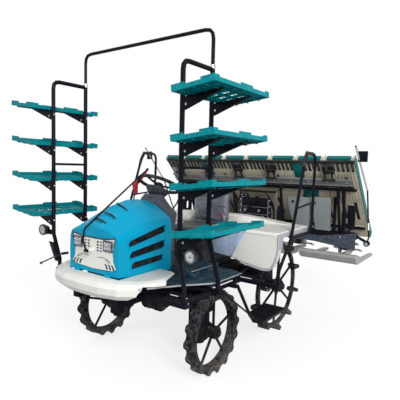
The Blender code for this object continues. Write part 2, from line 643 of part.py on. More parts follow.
# Steering wheel
parts = [turned([(STEER_R - 0.014, 0.0), (STEER_R - 0.007, 0.013), (STEER_R + 0.007, 0.013), (STEER_R + 0.014, 0.0),
                 (STEER_R + 0.007, -0.013), (STEER_R - 0.007, -0.013)], hub, axis, 28)]
parts.append(rod(hub - axis * 0.035, hub + axis * 0.006, 0.034, 18))
up = Vector((0.0, math.cos(STEER_TILT), -math.sin(STEER_TILT)))
for k in range(3):
    t = 2 * math.pi * (k + 0.25) / 3
    d = Vector((1.0, 0.0, 0.0)) * math.cos(t) + up * math.sin(t)
    parts.append(rod(hub - axis * 0.014, hub + d * STEER_R, 0.009, 8))
node("steering_wheel", "black_casting", parts, origin=hub)

# Floor: a patterned plate that widens behind the apron, with a raised middle
def widen(points):
    return points + [(-x, y) for x, y in reversed(points)]


edge = [(0.400, -1.225), (0.455, -1.225), (0.500, -1.16), (FLOOR_HALF, -0.985), (FLOOR_HALF, -0.600), (0.560, -0.548)]
parts = [prism(widen([(0.0001, -1.012)] + [(0.24, -1.012), (0.40, -1.225)] + edge[1:]), 'z', FLOOR_Z - FLOOR_T, FLOOR_Z)]
parts.append(prism(widen([(0.455, -1.00), (0.455, -0.62)]), 'z', FLOOR_Z - 0.004, FLOOR_Z + FLOOR_RISE))
cut = box(-0.240, 0.240, -1.30, DASH_FRONT_Y - 0.006, 0.70, 0.90)
node("floor_plate", "floor_teal", parts, [cut])

# Seat, hinged at its front edge
parts = [box(-0.235, 0.235, -0.525, -0.075, 0.985, 1.065, 0.030, 3)]
back = [(-0.130, 1.010), (-0.105, 1.400), (-0.045, 1.392), (-0.030, 1.010)]
parts.append(prism(back, 'x', -0.220, 0.220, 0.022, 3))
parts.append(box(-0.20, 0.20, -0.50, -0.08, SEAT_BASE_Z, 1.02, 0.008))
node("seat", "seat_grey", parts, origin=(0.0, SEAT_PIVOT_Y, SEAT_PIVOT_Z))


# Rear cover: the cream deck behind the seat with a wall down to the floor on each side
crown = [(DECK_X, DECK_Z - DECK_T), (DECK_X, DECK_Z - 0.010), (0.800, DECK_Z + 0.004), (0.550, DECK_Z + 0.028),
         (0.300, DECK_Z + 0.048)]
parts = [prism(crown + [(-x, z) for x, z in reversed(crown)], 'y', 0.005, DECK_REAR_Y, 0.012)]
for sx in (1, -1):
    x0, x1 = sorted((sx * 0.275, sx * DECK_X))
    parts.append(box(x0, x1, DECK_FRONT_Y, DECK_REAR_Y - 0.002, DECK_Z - DECK_T, DECK_Z - 0.001, 0.018))
    wall = [(0.275, DECK_Z - 0.012), (0.275, 0.862), (0.480, 0.845), (0.600, 0.812), (0.812, 0.779), (0.885, 0.786),
            (0.925, 0.868), (DECK_X - 0.003, 0.960), (DECK_X - 0.003, DECK_Z - 0.012)]
    parts.append(prism([(sx * x, z) for x, z in wall], 'y', DECK_FRONT_Y + 0.001, DECK_FRONT_Y + 0.090, 0.014))
node("rear_cover", "cream_plastic", parts)


# Racks: two posts a side with a top bend, a rung and triangular brackets, and a work lamp
def rack(label, sx):
    x = sx * POST_X
    parts = [tube([(x, -1.385, RAIL_Z1 + 0.010 + SEAM), (x, -1.385, 0.80), (x, POST_FRONT_Y, 1.02), (x, POST_FRONT_Y, RACK_TOP_Z),
                   (x, POST_REAR_Y, RACK_TOP_Z)], POST_R, 0.06, 8)]
    parts.append(tube([(x, -0.965, RAIL_Z1 + 0.010 + SEAM), (x, -0.965, 0.76), (x, POST_REAR_Y, 1.14),
                       (x, POST_REAR_Y, RACK_TOP_Z + 0.020)], POST_R, 0.05, 8))
    parts.append(rod((x, POST_FRONT_Y, 1.611), (x, POST_REAR_Y, 1.611), 0.0095, 10))
    for z in SHELF_Z:
        reach = 0.305
        low = z + SHELF_RISE - SEAM / math.cos(SHELF_TILT) - math.tan(SHELF_TILT) * (SHELF_X0 - POST_X)
        top = low + math.tan(SHELF_TILT) * reach
        shape = [(0.0, z - 0.012), (0.020, z - 0.012), (reach, top - 0.006), (reach, top), (0.0, low)]
        for y in (POST_FRONT_Y, POST_REAR_Y):
            parts.append(prism([(x + sx * px, pz) for px, pz in shape], 'y', y - 0.0145, y + 0.0145))
    lamp = (x + sx * LAMP_REACH, POST_FRONT_Y - 0.012, LAMP_Z)
    parts.append(turned([(0.0001, -0.034), (LAMP_R * 0.65, -0.032), (LAMP_R * 0.96, 0.008), (LAMP_R, 0.024),
                         (LAMP_R * 0.86, 0.024), (0.0001, 0.018)], lamp, (0, -1, 0), 20))
    parts.append(box(min(x, lamp[0]) - 0.004, max(x, lamp[0]) + 0.004, POST_FRONT_Y - 0.006, POST_FRONT_Y + 0.010,
                     LAMP_Z - 0.035, LAMP_Z + 0.005))
    node("rack_frame_" + label, "black_tube", parts)


# One shelf tray: floor with a rim, raised corners and ends, and a grid of openings
def shelf(label, sx, index):
    z = SHELF_Z[index] + SHELF_RISE
    w = SHELF_WIDTH
    d = SHELF_LENGTH
    t = 0.005
    tall = 0.040
    outer = box(0, w, 0, d, 0, tall - 0.012)
    hollow = box(t, w - t, t, d - t, t, 0.1)
    raised = []
    for x0, x1, y0, y1 in ((0, 0.10, 0, t), (w - 0.10, w, 0, t), (w - t, w, 0, 0.05), (w - t, w, d * 0.44, d * 0.66),
                           (w - t, w, d - 0.05, d), (0, 0.10, d - t, d), (w - 0.10, w, d - t, d),
                           (0, t, 0, 0.05), (0, t, d * 0.44, d * 0.66), (0, t, d - 0.05, d)):
        raised.append(box(x0, x1, y0, y1, 0.002, tall))
    cuts = [hollow]
    for i in range(2):
        for j in range(4):
            cx = w / 2 + (i - 0.5) * 0.088
            cy = d / 2 + (j - 1.5) * 0.094
            cuts.append(box(cx - 0.031, cx + 0.031, cy - 0.035, cy + 0.035, -0.01, 0.02))
    merge(outer, [cuts.pop(0)], 'DIFFERENCE')
    merge(outer, raised, 'UNION')
    place = Matrix.Translation((SHELF_X0, SHELF_Y0, z)) @ Matrix.Rotation(-SHELF_TILT, 4, 'Y')
    if sx < 0:
        place = Matrix.Scale(-1, 4, (1, 0, 0)) @ place
    ob = node("shelf_%s_%d" % (label, index + 1), "tray_teal", [outer], cuts)
    moved(ob, place)
    if sx < 0:
        finish(ob)
    return ob


for label, sx in SIDES:
    rack(label, sx)
    for index in range(4):
        shelf(label, sx, index)

# Roof hoop: one bent tube standing in the tops of the rear posts
parts = [tube([(POST_X, POST_REAR_Y, RACK_TOP_Z + 0.020 + SEAM), (POST_X, POST_REAR_Y, HOOP_TOP_Z),
               (-POST_X, POST_REAR_Y, HOOP_TOP_Z), (-POST_X, POST_REAR_Y, RACK_TOP_Z + 0.020 + SEAM)], HOOP_R, 0.07, 8)]
node("roof_hoop", "black_tube", parts)

# Lower links: two arms joined by a cross tube
a = LINK_PIVOT
b = LINK_END
parts = []
for sx in (1, -1):
    x = sx * LINK_X
    parts.append(rod((x, a[0], a[1]), (x, b[0], b[1]), 0.017, 12))
    for y, z in (a, b):
        parts.append(disc((x, y, z), X, 0.027, -0.019, 0.019, 16))
mid = ((a[0] + b[0]) / 2, (a[1] + b[1]) / 2)
parts.append(rod((-LINK_X, mid[0], mid[1]), (LINK_X, mid[0], mid[1]), 0.014, 12))
node("lower_links", "black_tube", parts, origin=(0.0, a[0], a[1]))

# Top link
parts = [rod((0, a[0], a[1] + TOP_LINK_RISE), (0, b[0], b[1] + TOP_LINK_RISE), 0.015, 12)]
for y, z in (a, b):
    parts.append(disc((0, y, z + TOP_LINK_RISE), X, 0.026, -0.018, 0.018, 16))
node("top_link", "black_tube", parts, origin=(0.0, a[0], a[1] + TOP_LINK_RISE))

# Hitch: an upright between the links and the planting unit, which rolls on it
hy = b[0] + 0.036
parts = [box(-0.205, 0.205, hy, hy + 0.022, b[1] - 0.05, b[1] + TOP_LINK_RISE + 0.05, 0.004)]
for sx in (1, -1):
    for near, far in ((0.019 + SEAM, 0.031), (-0.019 - RUN - 0.010, -0.019 - RUN)):
        parts.append(box(*sorted((sx * (LINK_X + near), sx * (LINK_X + far))), b[0] - 0.022, hy + 0.010, b[1] - 0.024,
                         b[1] + 0.026))
    parts.append(box(*sorted((sx * (0.018 + SEAM), sx * 0.030)), b[0] - 0.022, hy + 0.010, b[1] + TOP_LINK_RISE - 0.024,
                     b[1] + TOP_LINK_RISE + 0.026))
parts.append(rod((0, hy + 0.01, ROLL_Z), (0, PLANTER_FRONT_Y - SEAM, ROLL_Z), 0.034, 16))
node("hitch", "black_casting", parts, origin=(0.0, b[0], b[1]))

# Planting frame: a cross beam with four drive cases, uprights and the two rails under the stage
slope = Vector((0.0, STAGE_LOW[0] - STAGE_TOP[0], STAGE_LOW[1] - STAGE_TOP[1])).normalized()
rear_up = Vector((0.0, -slope.z, slope.y))


def on_stage(x, along, above):
    """A point beside the stage: metres down from its top edge and out from its upper face."""
    p = Vector((x, STAGE_TOP[0], STAGE_TOP[1])) + slope * along + rear_up * above
    return p


parts = [box(-BEAM_HALF, BEAM_HALF, BEAM_Y - 0.035, BEAM_Y + 0.035, BEAM_Z - 0.035, BEAM_Z + 0.035)]
parts.append(box(-0.14, 0.14, PLANTER_FRONT_Y, BEAM_Y + 0.03, BEAM_Z - 0.02, ROLL_Z + 0.16, 0.015))
for x in ROTOR_CASE_X:
    case = [(BEAM_Y, BEAM_Z - 0.035), (BEAM_Y, BEAM_Z + 0.034), (BEAM_Y + 0.12, BEAM_Z + 0.02), (ROTOR_Y - 0.02, ROTOR_Z + 0.052),
            (ROTOR_Y + 0.035, ROTOR_Z + 0.040), (ROTOR_Y + 0.050, ROTOR_Z), (ROTOR_Y + 0.03, ROTOR_Z - 0.045),
            (ROTOR_Y - 0.04, ROTOR_Z - 0.050)]
    parts.append(prism(case, 'x', x - 0.030, x + 0.030))
    parts.append(disc((x, ROTOR_Y, ROTOR_Z), X, 0.030, -0.036, 0.036, 16))
rail_low = -STAGE_T - RAIL_GAP - 0.017
for along in RAIL_ALONG:
    p = on_stage(0.0, along, rail_low)
    parts.append(rod((-1.17, p.y, p.z), (1.17, p.y, p.z), 0.017, 12))
p = on_stage(0.0, RAIL_ALONG[0], rail_low - 0.004)
q = on_stage(0.0, RAIL_ALONG[1], rail_low - 0.004)
for x in (-0.98, -0.32, 0.32, 0.98):
    parts.append(rod((x, BEAM_Y, BEAM_Z), (x, p.y, p.z), 0.017, 10))
    parts.append(rod((x * 1.05, BEAM_Y, BEAM_Z), (x * 1.05, q.y, q.z), 0.014, 10))
for sx in (1, -1):
    seat_y = BEAM_Y + MARKER_EYE + SEAM
    parts.append(rod((sx * (BEAM_HALF - 0.02), BEAM_Y + 0.03, BEAM_Z), (sx * MARKER_X, seat_y + 0.030, MARKER_Z), 0.016, 10))
    parts.append(rod((sx * MARKER_X, seat_y, MARKER_Z), (sx * MARKER_X, seat_y + 0.036, MARKER_Z), 0.022, 12))
# Hangers that the floats turn on
for x in FLOAT_LUG_X:
    for side in (1, -1):
        near, far = sorted((x + side * (LUG_HALF + SEAM), x + side * (LUG_HALF + SEAM + 0.007)))
        parts.append(prism([(FLOAT_PIVOT_Y - 0.035, 0.800), (FLOAT_PIVOT_Y + 0.020, 0.800),
                            (FLOAT_PIVOT_Y + 0.016, FLOAT_PIVOT_Z - 0.012), (FLOAT_PIVOT_Y - 0.016, FLOAT_PIVOT_Z - 0.012)],
                           'x', near, far))
bores = [rod((x - 0.06, ROTOR_Y, ROTOR_Z), (x + 0.06, ROTOR_Y, ROTOR_Z), SHAFT_R + 0.002, 12) for x in ROTOR_CASE_X]
node("planting_frame", "black_casting", parts, bores)

# Seedling stage: eight lanes between raised dividers, with belts showing through slots near the top
stage_length = math.hypot(STAGE_LOW[0] - STAGE_TOP[0], STAGE_LOW[1] - STAGE_TOP[1])
turn = Matrix(((1, 0, 0, 0), (0, slope.y, rear_up.y, STAGE_TOP[0]), (0, slope.z, rear_up.z, STAGE_TOP[1]), (0, 0, 0, 1)))
parts = [box(-STAGE_HALF, STAGE_HALF, 0.0, stage_length, -STAGE_T, 0.0)]
for k in range(ROWS + 1):
    x = (k - ROWS / 2) * ROW_PITCH
    x = max(-STAGE_HALF + 0.006, min(STAGE_HALF - 0.006, x))
    parts.append(box(x - 0.006, x + 0.006, 0.0, stage_length, -0.010, 0.042))
parts.append(box(-STAGE_HALF, STAGE_HALF, 0.0, 0.014, -STAGE_T - 0.006, 0.012))
cuts = []
for k in range(ROWS):
    x = (k - ROWS / 2 + 0.5) * ROW_PITCH
    for dx in (-0.066, 0.066):
        cuts.append(box(x + dx - 0.018, x + dx + 0.018, 0.62, 0.90, -0.05, 0.03))
# Runners that slide on the rails, and the ribbed light panels left and right of the middle
for along in RAIL_ALONG:
    parts.append(box(-1.15, 1.15, along - 0.012, along + 0.012, -STAGE_T - RAIL_GAP + SEAM, -0.010))
for sx in (1, -1):
    x0, x1 = sorted((sx * 0.345, sx * 0.880))
    parts.append(box(x0, x1, 0.665, 0.985, -STAGE_T - 0.005, -0.010))
    for k in range(7):
        x = x0 + (x1 - x0) * (k + 0.5) / 7
        parts.append(box(x - 0.008, x + 0.008, 0.670, 0.980, -STAGE_T - 0.012, -0.010))
moved(node("seedling_stage", "stage_beige", parts, cuts), turn)

# Levelling board in front of the beam
side = [(0.78, 0.892), (BEAM_HALF, 0.955), (BEAM_HALF, 0.775), (0.72, 0.822), (0.0, 0.838)]
board = [(-x, z) for x, z in reversed(side[:-1])] + side
node("levelling_board", "board_slate", [prism(board, 'y', BEAM_Y - 0.035 - 0.016, BEAM_Y - 0.035 - SEAM)])

# Planting rotors: one a drive case, each with a gear arm and two forks on both sides
for index, cx in enumerate(ROTOR_CASE_X):
    parts = []
    for sx in (1, -1):
        x = cx + sx * (0.036 + SEAM)
        arm = []
        for t in range(0, 360, 20):
            a = math.radians(t)
            shift = 0.040 if math.cos(a) > 0 else -0.040
            arm.append((shift + 0.030 * math.cos(a), 0.030 * math.sin(a)))
        x0, x1 = sorted((x, x + sx * 0.050))
        body = prism(arm, 'x', x0, x1)
        moved(body, Matrix.Rotation(math.radians(128), 4, 'X'))
        moved(body, Matrix.Translation((0, ROTOR_Y, ROTOR_Z)))
        parts.append(body)
        for end in (1, -1):
            a = math.radians(128) if end > 0 else math.radians(308)
            base = Vector((x + sx * 0.045, ROTOR_Y + 0.045 * math.cos(a), ROTOR_Z + 0.045 * math.sin(a)))
            far = Vector((cx + sx * 0.150, ROTOR_Y + 0.045 * math.cos(a), ROTOR_Z + 0.045 * math.sin(a)))
            parts.append(rod(base, far, 0.010, 8))
            tip = Vector((cx + sx * 0.150, ROTOR_Y + 0.150 * math.cos(a + 0.45), ROTOR_Z + 0.150 * math.sin(a + 0.45)))
            parts.append(rod(far, tip, 0.010, 8))
    parts.append(rod((cx - 0.05, ROTOR_Y, ROTOR_Z), (cx + 0.05, ROTOR_Y, ROTOR_Z), SHAFT_R, 10))
    node("planting_rotor_%d" % (index + 1), "steel_grey", parts, origin=(cx, ROTOR_Y, ROTOR_Z))


# Floats: each a broad nose with tails that pass between the planting rows
def float_board(name, x0, x1, tails):
    low = FLOAT_LOW_Z
    nose = [(0.985, low + 0.085), (1.000, low + 0.110), (1.045, low + 0.112), (1.300, low + 0.045), (1.300, low), (1.08, low),
            (1.015, low + 0.035)]
    parts = [prism(nose, 'x', x0, x1)]
    for t0, t1 in tails:
        parts.append(prism([(1.25, low), (1.25, low + 0.045), (1.66, low + 0.035), (1.715, low + 0.030), (1.72, low + 0.012),
                            (1.700, low)], 'x', t0, t1))
    for x in FLOAT_LUG_X:
        if x0 < x < x1:
            parts.append(prism([(FLOAT_PIVOT_Y - 0.030, low + 0.02), (FLOAT_PIVOT_Y + 0.030, low + 0.02),
                                (FLOAT_PIVOT_Y + 0.012, FLOAT_PIVOT_Z + 0.012), (FLOAT_PIVOT_Y - 0.012, FLOAT_PIVOT_Z + 0.012)],
                               'x', x - LUG_HALF, x + LUG_HALF))
    return node(name, "float_grey", parts, origin=((x0 + x1) / 2, FLOAT_PIVOT_Y, FLOAT_PIVOT_Z))


float_board("float_centre", -0.385, 0.385, ((-0.325, -0.275), (-0.080, 0.080), (0.275, 0.325)))
float_board("float_left", 0.515, BEAM_HALF, ((0.575, 0.625), (0.875, 0.925), (BEAM_HALF - 0.035, BEAM_HALF)))
float_board("float_right", -BEAM_HALF, -0.515, ((-0.625, -0.575), (-0.925, -0.875), (-BEAM_HALF, 0.035 - BEAM_HALF)))

# Line markers: rods folded up beside the stage, each with a paddle at its tip
for label, sx in SIDES:
    x = sx * MARKER_X
    parts = [tube([(x, BEAM_Y, MARKER_Z), (sx * 1.295, BEAM_Y - 0.05, 0.93), (sx * 1.315, 0.700, 1.425),
                   (sx * 1.290, 0.300, 1.840)], 0.008, 0.05, 8)]
    parts.append(disc((x, BEAM_Y, MARKER_Z), Y, 0.030, -MARKER_EYE, MARKER_EYE, 16))
    x0, x1 = sorted((sx * 1.282, sx * 1.370))
    parts.append(box(x0, x1, 0.410, 0.425, 1.700, 1.800, 0.004))
    node("marker_arm_" + label, "black_tube", parts, origin=(x, BEAM_Y, MARKER_Z))
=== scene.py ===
import math

import bpy
import bmesh
from mathutils import Matrix, Vector
from mathutils.bvhtree import BVHTree


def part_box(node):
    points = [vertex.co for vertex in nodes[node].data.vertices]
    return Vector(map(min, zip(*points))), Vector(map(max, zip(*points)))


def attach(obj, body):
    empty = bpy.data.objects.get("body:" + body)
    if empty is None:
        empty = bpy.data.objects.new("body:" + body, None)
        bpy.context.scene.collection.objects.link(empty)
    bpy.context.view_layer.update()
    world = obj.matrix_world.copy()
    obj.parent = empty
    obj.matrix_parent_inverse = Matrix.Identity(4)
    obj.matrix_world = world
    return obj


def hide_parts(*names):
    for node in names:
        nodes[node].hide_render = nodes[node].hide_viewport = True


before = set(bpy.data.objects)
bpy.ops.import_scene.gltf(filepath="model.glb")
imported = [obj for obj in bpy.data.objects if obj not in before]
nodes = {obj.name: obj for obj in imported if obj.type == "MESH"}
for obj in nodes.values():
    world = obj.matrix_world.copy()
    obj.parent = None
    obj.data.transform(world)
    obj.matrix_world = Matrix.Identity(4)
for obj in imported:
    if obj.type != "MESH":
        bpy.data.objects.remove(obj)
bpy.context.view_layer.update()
scene = bpy.context.scene

# Camera. It looks at the machine from its front left at head height; its place
# and lens were solved from the posts, the shelves and the wheels.
EYE = (2.360, -3.537, 1.617)
SENSOR = 36.0
LENS = 412.8 / 400 * SENSOR
YAW, PITCH, ROLL = (math.radians(a) for a in (35.925, 4.573, 1.461))
cam_data = bpy.data.cameras.new("camera")
cam_data.sensor_width = SENSOR
cam_data.lens = LENS
cam = bpy.data.objects.new("camera", cam_data)
scene.collection.objects.link(cam)
ahead = Vector((-math.sin(YAW), math.cos(YAW), 0.0))
right = Vector((math.cos(YAW), math.sin(YAW), 0.0))
look = ahead * math.cos(PITCH) - Vector((0, 0, math.sin(PITCH)))
rise = ahead * math.sin(PITCH) + Vector((0, 0, math.cos(PITCH)))
right, rise = (right * math.cos(ROLL) + rise * math.sin(ROLL),
               rise * math.cos(ROLL) - right * math.sin(ROLL))
turned = Matrix((right, rise, -look)).transposed().to_4x4()
cam.matrix_world = Matrix.Translation(EYE) @ turned
scene.camera = cam
scene.view_settings.view_transform = "Standard"

# Floor and light. A pale floor that turns white away from the machine, a soft
# sky that shows white to the camera, one broad key lamp and a weak fill.
FLOOR_REACH = 40.0
FLOOR_GREY = 0.30
FLOOR_LIFT = 0.74                    # added where the camera or a reflection sees the floor
FADE_START, FADE_END = 2.4, 4.6      # metres from the machine over which the floor turns white
SKY_DIM = 0.50
LAMPS = (("key", (6.1, -5.1, 4.4), (0, 0, 0.9), 3.0, 600.0),
         ("fill", (-5.0, -5.0, 5.0), (0, 0, 1.0), 5.0, 90.0))


def add(tree, kind, *ins, **named):
    """Add a node and return its outputs; inputs and settings are values or other nodes' outputs."""
    node = tree.nodes.new("ShaderNode" + kind)
    for key, value in [*enumerate(ins), *named.items()]:
        if isinstance(key, str) and key in node.bl_rna.properties:
            setattr(node, key, value)
            continue
        socket = node.inputs[key.replace("_", " ") if isinstance(key, str) else key]
        if hasattr(value, "is_output"):
            tree.links.new(value, socket)
        else:
            socket.default_value = value
    return node.outputs


corners = [(sx * FLOOR_REACH, sy * FLOOR_REACH, 0) for sx, sy in ((-1, -1), (1, -1), (1, 1), (-1, 1))]
floor_mesh = bpy.data.meshes.new("floor")
floor_mesh.from_pydata(corners, [], [(0, 1, 2, 3)])
floor = bpy.data.objects.new("floor", floor_mesh)
scene.collection.objects.link(floor)
mat = bpy.data.materials.new("floor_white")
mat.use_nodes = True
tree = mat.node_tree
bsdf = tree.nodes["Principled BSDF"]
bsdf.inputs["Base Color"].default_value = (FLOOR_GREY, FLOOR_GREY, FLOOR_GREY, 1)
noise = add(tree, "TexNoise", Scale=3.0)["Fac"]
tree.links.new(add(tree, "MapRange", noise, To_Min=0.75, To_Max=0.85)[0], bsdf.inputs["Roughness"])
path = add(tree, "LightPath")
seen = add(tree, "Math", path["Is Camera Ray"], path["Is Glossy Ray"], operation="MAXIMUM")[0]
away = add(tree, "VectorMath", add(tree, "NewGeometry")["Position"], operation="LENGTH")["Value"]
fade = add(tree, "MapRange", away, interpolation_type="SMOOTHSTEP", From_Min=FADE_START, From_Max=FADE_END)[0]
far = add(tree, "Math", fade, seen, operation="MULTIPLY")[0]
lift = add(tree, "Emission", Color=(1, 1, 1, 1), Strength=FLOOR_LIFT)[0]
lit = add(tree, "AddShader", bsdf.outputs[0], lift)[0]
near = add(tree, "MixShader", seen, bsdf.outputs[0], lit)[0]
plain = add(tree, "Emission", Color=(1, 1, 1, 1), Strength=1.0)[0]
whole = add(tree, "MixShader", far, near, plain)[0]
tree.links.new(whole, tree.nodes["Material Output"].inputs["Surface"])
floor_mesh.materials.append(mat)

world = bpy.data.worlds.new("sky")
scene.world = world
world.use_nodes = True
tree = world.node_tree
tree.nodes.clear()
path = add(tree, "LightPath")
direct = add(tree, "Math", path["Is Camera Ray"], path["Is Transmission Ray"], operation="MAXIMUM")[0]
seen = add(tree, "Math", direct, path["Is Glossy Ray"], operation="MAXIMUM")[0]
dim = add(tree, "Background", Color=(0.92, 0.96, 1.0, 1), Strength=SKY_DIM)[0]
white = add(tree, "Background", Color=(1, 1, 1, 1), Strength=1.0)[0]
add(tree, "OutputWorld", add(tree, "MixShader", seen, dim, white)[0])
for name, spot, target, size, power in LAMPS:
    lamp = bpy.data.lights.new(name, "AREA")
    lamp.size = size
    lamp.energy = power
    lamp_ob = bpy.data.objects.new(name, lamp)
    lamp_ob.location = spot
    lamp_ob.rotation_euler = (Vector(target) - Vector(spot)).to_track_quat("-Z", "Y").to_euler()
    scene.collection.objects.link(lamp_ob)


# Main frame, racks, hoop and links. Welded steel tube under a thin black powder
# coat. The shared effects of every finish are built here: colour drift, dust and
# mud, rubbed edges and fine relief, each a node group.
def new_group(name, ins, outs):
    """Start a node group whose inputs rest at the given values."""
    g = bpy.data.node_groups.new(name, "ShaderNodeTree")
    for label, value in ins.items():
        kind = "NodeSocketColor" if isinstance(value, tuple) else "NodeSocketFloat"
        g.interface.new_socket(label, in_out="INPUT", socket_type=kind).default_value = value
    for label, kind in outs.items():
        g.interface.new_socket(label, in_out="OUTPUT", socket_type="NodeSocket" + kind)
    return g, g.nodes.new("NodeGroupInput").outputs, g.nodes.new("NodeGroupOutput").inputs


def blend_colour(tree, fac, under, over):
    """Mix two colours by a mask and return the colour."""
    node = tree.nodes.new("ShaderNodeMix")
    node.data_type = "RGBA"
    for source, key in ((fac, 0), (under, 6), (over, 7)):
        tree.links.new(source, node.inputs[key])
    return node.outputs[2]


def patches(g, low, high, **noise):
    """Patches of noise in the object's space, cut between two levels."""
    fac = add(g, "TexNoise", add(g, "TexCoord")["Object"], **noise)["Fac"]
    return add(g, "MapRange", fac, From_Min=low, From_Max=high)[0]


MID_GREY = (0.5, 0.5, 0.5, 1)
ROUGH_DRIFT = 0.06                   # how far roughness strays to either side over a surface
DUST_ROUGH = 0.4                     # added where dust lies thick
COLOUR_AND_MASK = {"Color": "Color", "Mask": "Float"}
g, gi, go = new_group("colour_drift", {"Color": MID_GREY, "Scale": 6.0, "Amount": 0.2},
                      {"Color": "Color", "Fac": "Float"})
fac = add(g, "TexNoise", add(g, "TexCoord")["Object"], Scale=gi["Scale"], Detail=6.0, Roughness=0.6)["Fac"]
swing = add(g, "MapRange", fac, From_Min=0.3, From_Max=0.7, To_Min=-0.5, To_Max=0.5)[0]
value = add(g, "Math", add(g, "Math", swing, gi["Amount"], operation="MULTIPLY")[0], 1.0)[0]
g.links.new(add(g, "HueSaturation", Color=gi["Color"], Value=value)[0], go["Color"])
g.links.new(fac, go["Fac"])

g, gi, go = new_group("dust_and_mud", {"Color": MID_GREY, "Dust": (0.36, 0.30, 0.22, 1), "Top": 0.15,
                                       "Mud": 0.0, "Mud Height": 0.5}, COLOUR_AND_MASK)
normal = add(g, "SeparateXYZ", add(g, "NewGeometry")["Normal"])["Z"]
up = add(g, "MapRange", normal, From_Min=0.2, From_Max=1.0)[0]
patch = patches(g, 0.35, 0.68, Scale=9.0, Detail=8.0, Roughness=0.65)
top = add(g, "Math", up, gi["Top"], operation="MULTIPLY")[0]
height = add(g, "SeparateXYZ", add(g, "TexCoord")["Object"])["Z"]
below = add(g, "Math", gi["Mud Height"], height, operation="SUBTRACT")[0]
low = add(g, "MapRange", below, From_Min=-0.05, From_Max=0.30)[0]
mud = add(g, "Math", low, gi["Mud"], operation="MULTIPLY")[0]
both = add(g, "Math", top, mud, operation="MAXIMUM")[0]
mask = add(g, "Math", both, patch, operation="MULTIPLY")[0]
g.links.new(blend_colour(g, mask, gi["Color"], gi["Dust"]), go["Color"])
g.links.new(mask, go["Mask"])

g, gi, go = new_group("rubbed_edges", {"Color": MID_GREY, "Bare": (0.25, 0.25, 0.25, 1), "Amount": 0.4,
                                       "Scale": 30.0}, COLOUR_AND_MASK)
edge = add(g, "MapRange", add(g, "NewGeometry")["Pointiness"], From_Min=0.515, From_Max=0.60)[0]
patch = patches(g, 0.42, 0.62, Scale=gi["Scale"], Detail=8.0, Roughness=0.7)
worn = add(g, "Math", edge, patch, operation="MULTIPLY")[0]
mask = add(g, "Math", worn, gi["Amount"], operation="MULTIPLY")[0]
g.links.new(blend_colour(g, mask, gi["Color"], gi["Bare"]), go["Color"])
g.links.new(mask, go["Mask"])

g, gi, go = new_group("fine_relief", {"Scale": 200.0, "Depth": 0.0004, "Strength": 0.5}, {"Normal": "Vector"})
grain = add(g, "TexNoise", add(g, "TexCoord")["Object"], Scale=gi["Scale"], Detail=4.0, Roughness=0.6)["Fac"]
bump = add(g, "Bump", Height=grain, Distance=gi["Depth"], Strength=gi["Strength"])[0]
g.links.new(bump, go["Normal"])


def place_group(tree, name, *values, **links):
    """Place a shared group in a material: values go to its inputs in order, links by name."""
    node = tree.nodes.new("ShaderNodeGroup")
    node.node_tree = bpy.data.node_groups[name]
    plain = [s for s in node.inputs if s.name not in links]
    for socket, value in zip(plain, values):
        socket.default_value = value
    for label, source in links.items():
        tree.links.new(source, node.inputs[label])
    return node.outputs


def start_material(name, **settings):
    """A new material and its Principled shader, with uniform values on the shader itself."""
    m = bpy.data.materials.new(name)
    m.use_nodes = True
    shader = m.node_tree.nodes["Principled BSDF"]
    for key, value in settings.items():
        shader.inputs[key.replace("_", " ")].default_value = value
    return m, m.node_tree, shader.inputs


def finish_of(name, colour, rough, metallic=0.0, coat=0.0, spec=0.5, drift=(6.0, 0.15), dust=(0.12, 0.0, 0.5),
              bare=((0.22, 0.22, 0.22, 1), 0.35, 30.0), relief=(220.0, 0.0004, 0.4), soil=(0.36, 0.30, 0.22, 1)):
    """A painted, moulded or cast finish: colour drift, rubbed edges and dust over the base colour."""
    m, t, shader = start_material(name, Metallic=metallic, Coat_Weight=coat, Coat_Roughness=0.08,
                                  Specular_IOR_Level=spec)
    drifted = place_group(t, "colour_drift", (*colour, 1), *drift)
    rubbed = place_group(t, "rubbed_edges", *bare, Color=drifted["Color"])
    dusty = place_group(t, "dust_and_mud", soil, *dust, Color=rubbed["Color"])
    t.links.new(dusty["Color"], shader["Base Color"])
    uneven = add(t, "MapRange", drifted["Fac"], From_Min=0.3, From_Max=0.7,
                 To_Min=rough - ROUGH_DRIFT, To_Max=rough + ROUGH_DRIFT)[0]
    dull = add(t, "Math", dusty["Mask"], DUST_ROUGH, uneven, operation="MULTIPLY_ADD")[0]
    t.links.new(dull, shader["Roughness"])
    if relief:
        t.links.new(place_group(t, "fine_relief", *relief)["Normal"], shader["Normal"])
    return m


def dress(material, *names):
    """Give CAD nodes a finish."""
    for name in names:
        nodes[name].data.materials.clear()
        nodes[name].data.materials.append(material)


powder = finish_of("powder_black", (0.0040, 0.0050, 0.0095), 0.44, spec=0.06, dust=(0.03, 0.05, 0.55),
                   bare=((0.03, 0.03, 0.034, 1), 0.3, 30.0), relief=(420.0, 0.0002, 0.5))
dress(powder, "main_frame", "rack_frame_left", "rack_frame_right", "roof_hoop", "lower_links", "top_link",
      "tie_rod", "guide_mast", "marker_arm_left", "marker_arm_right")

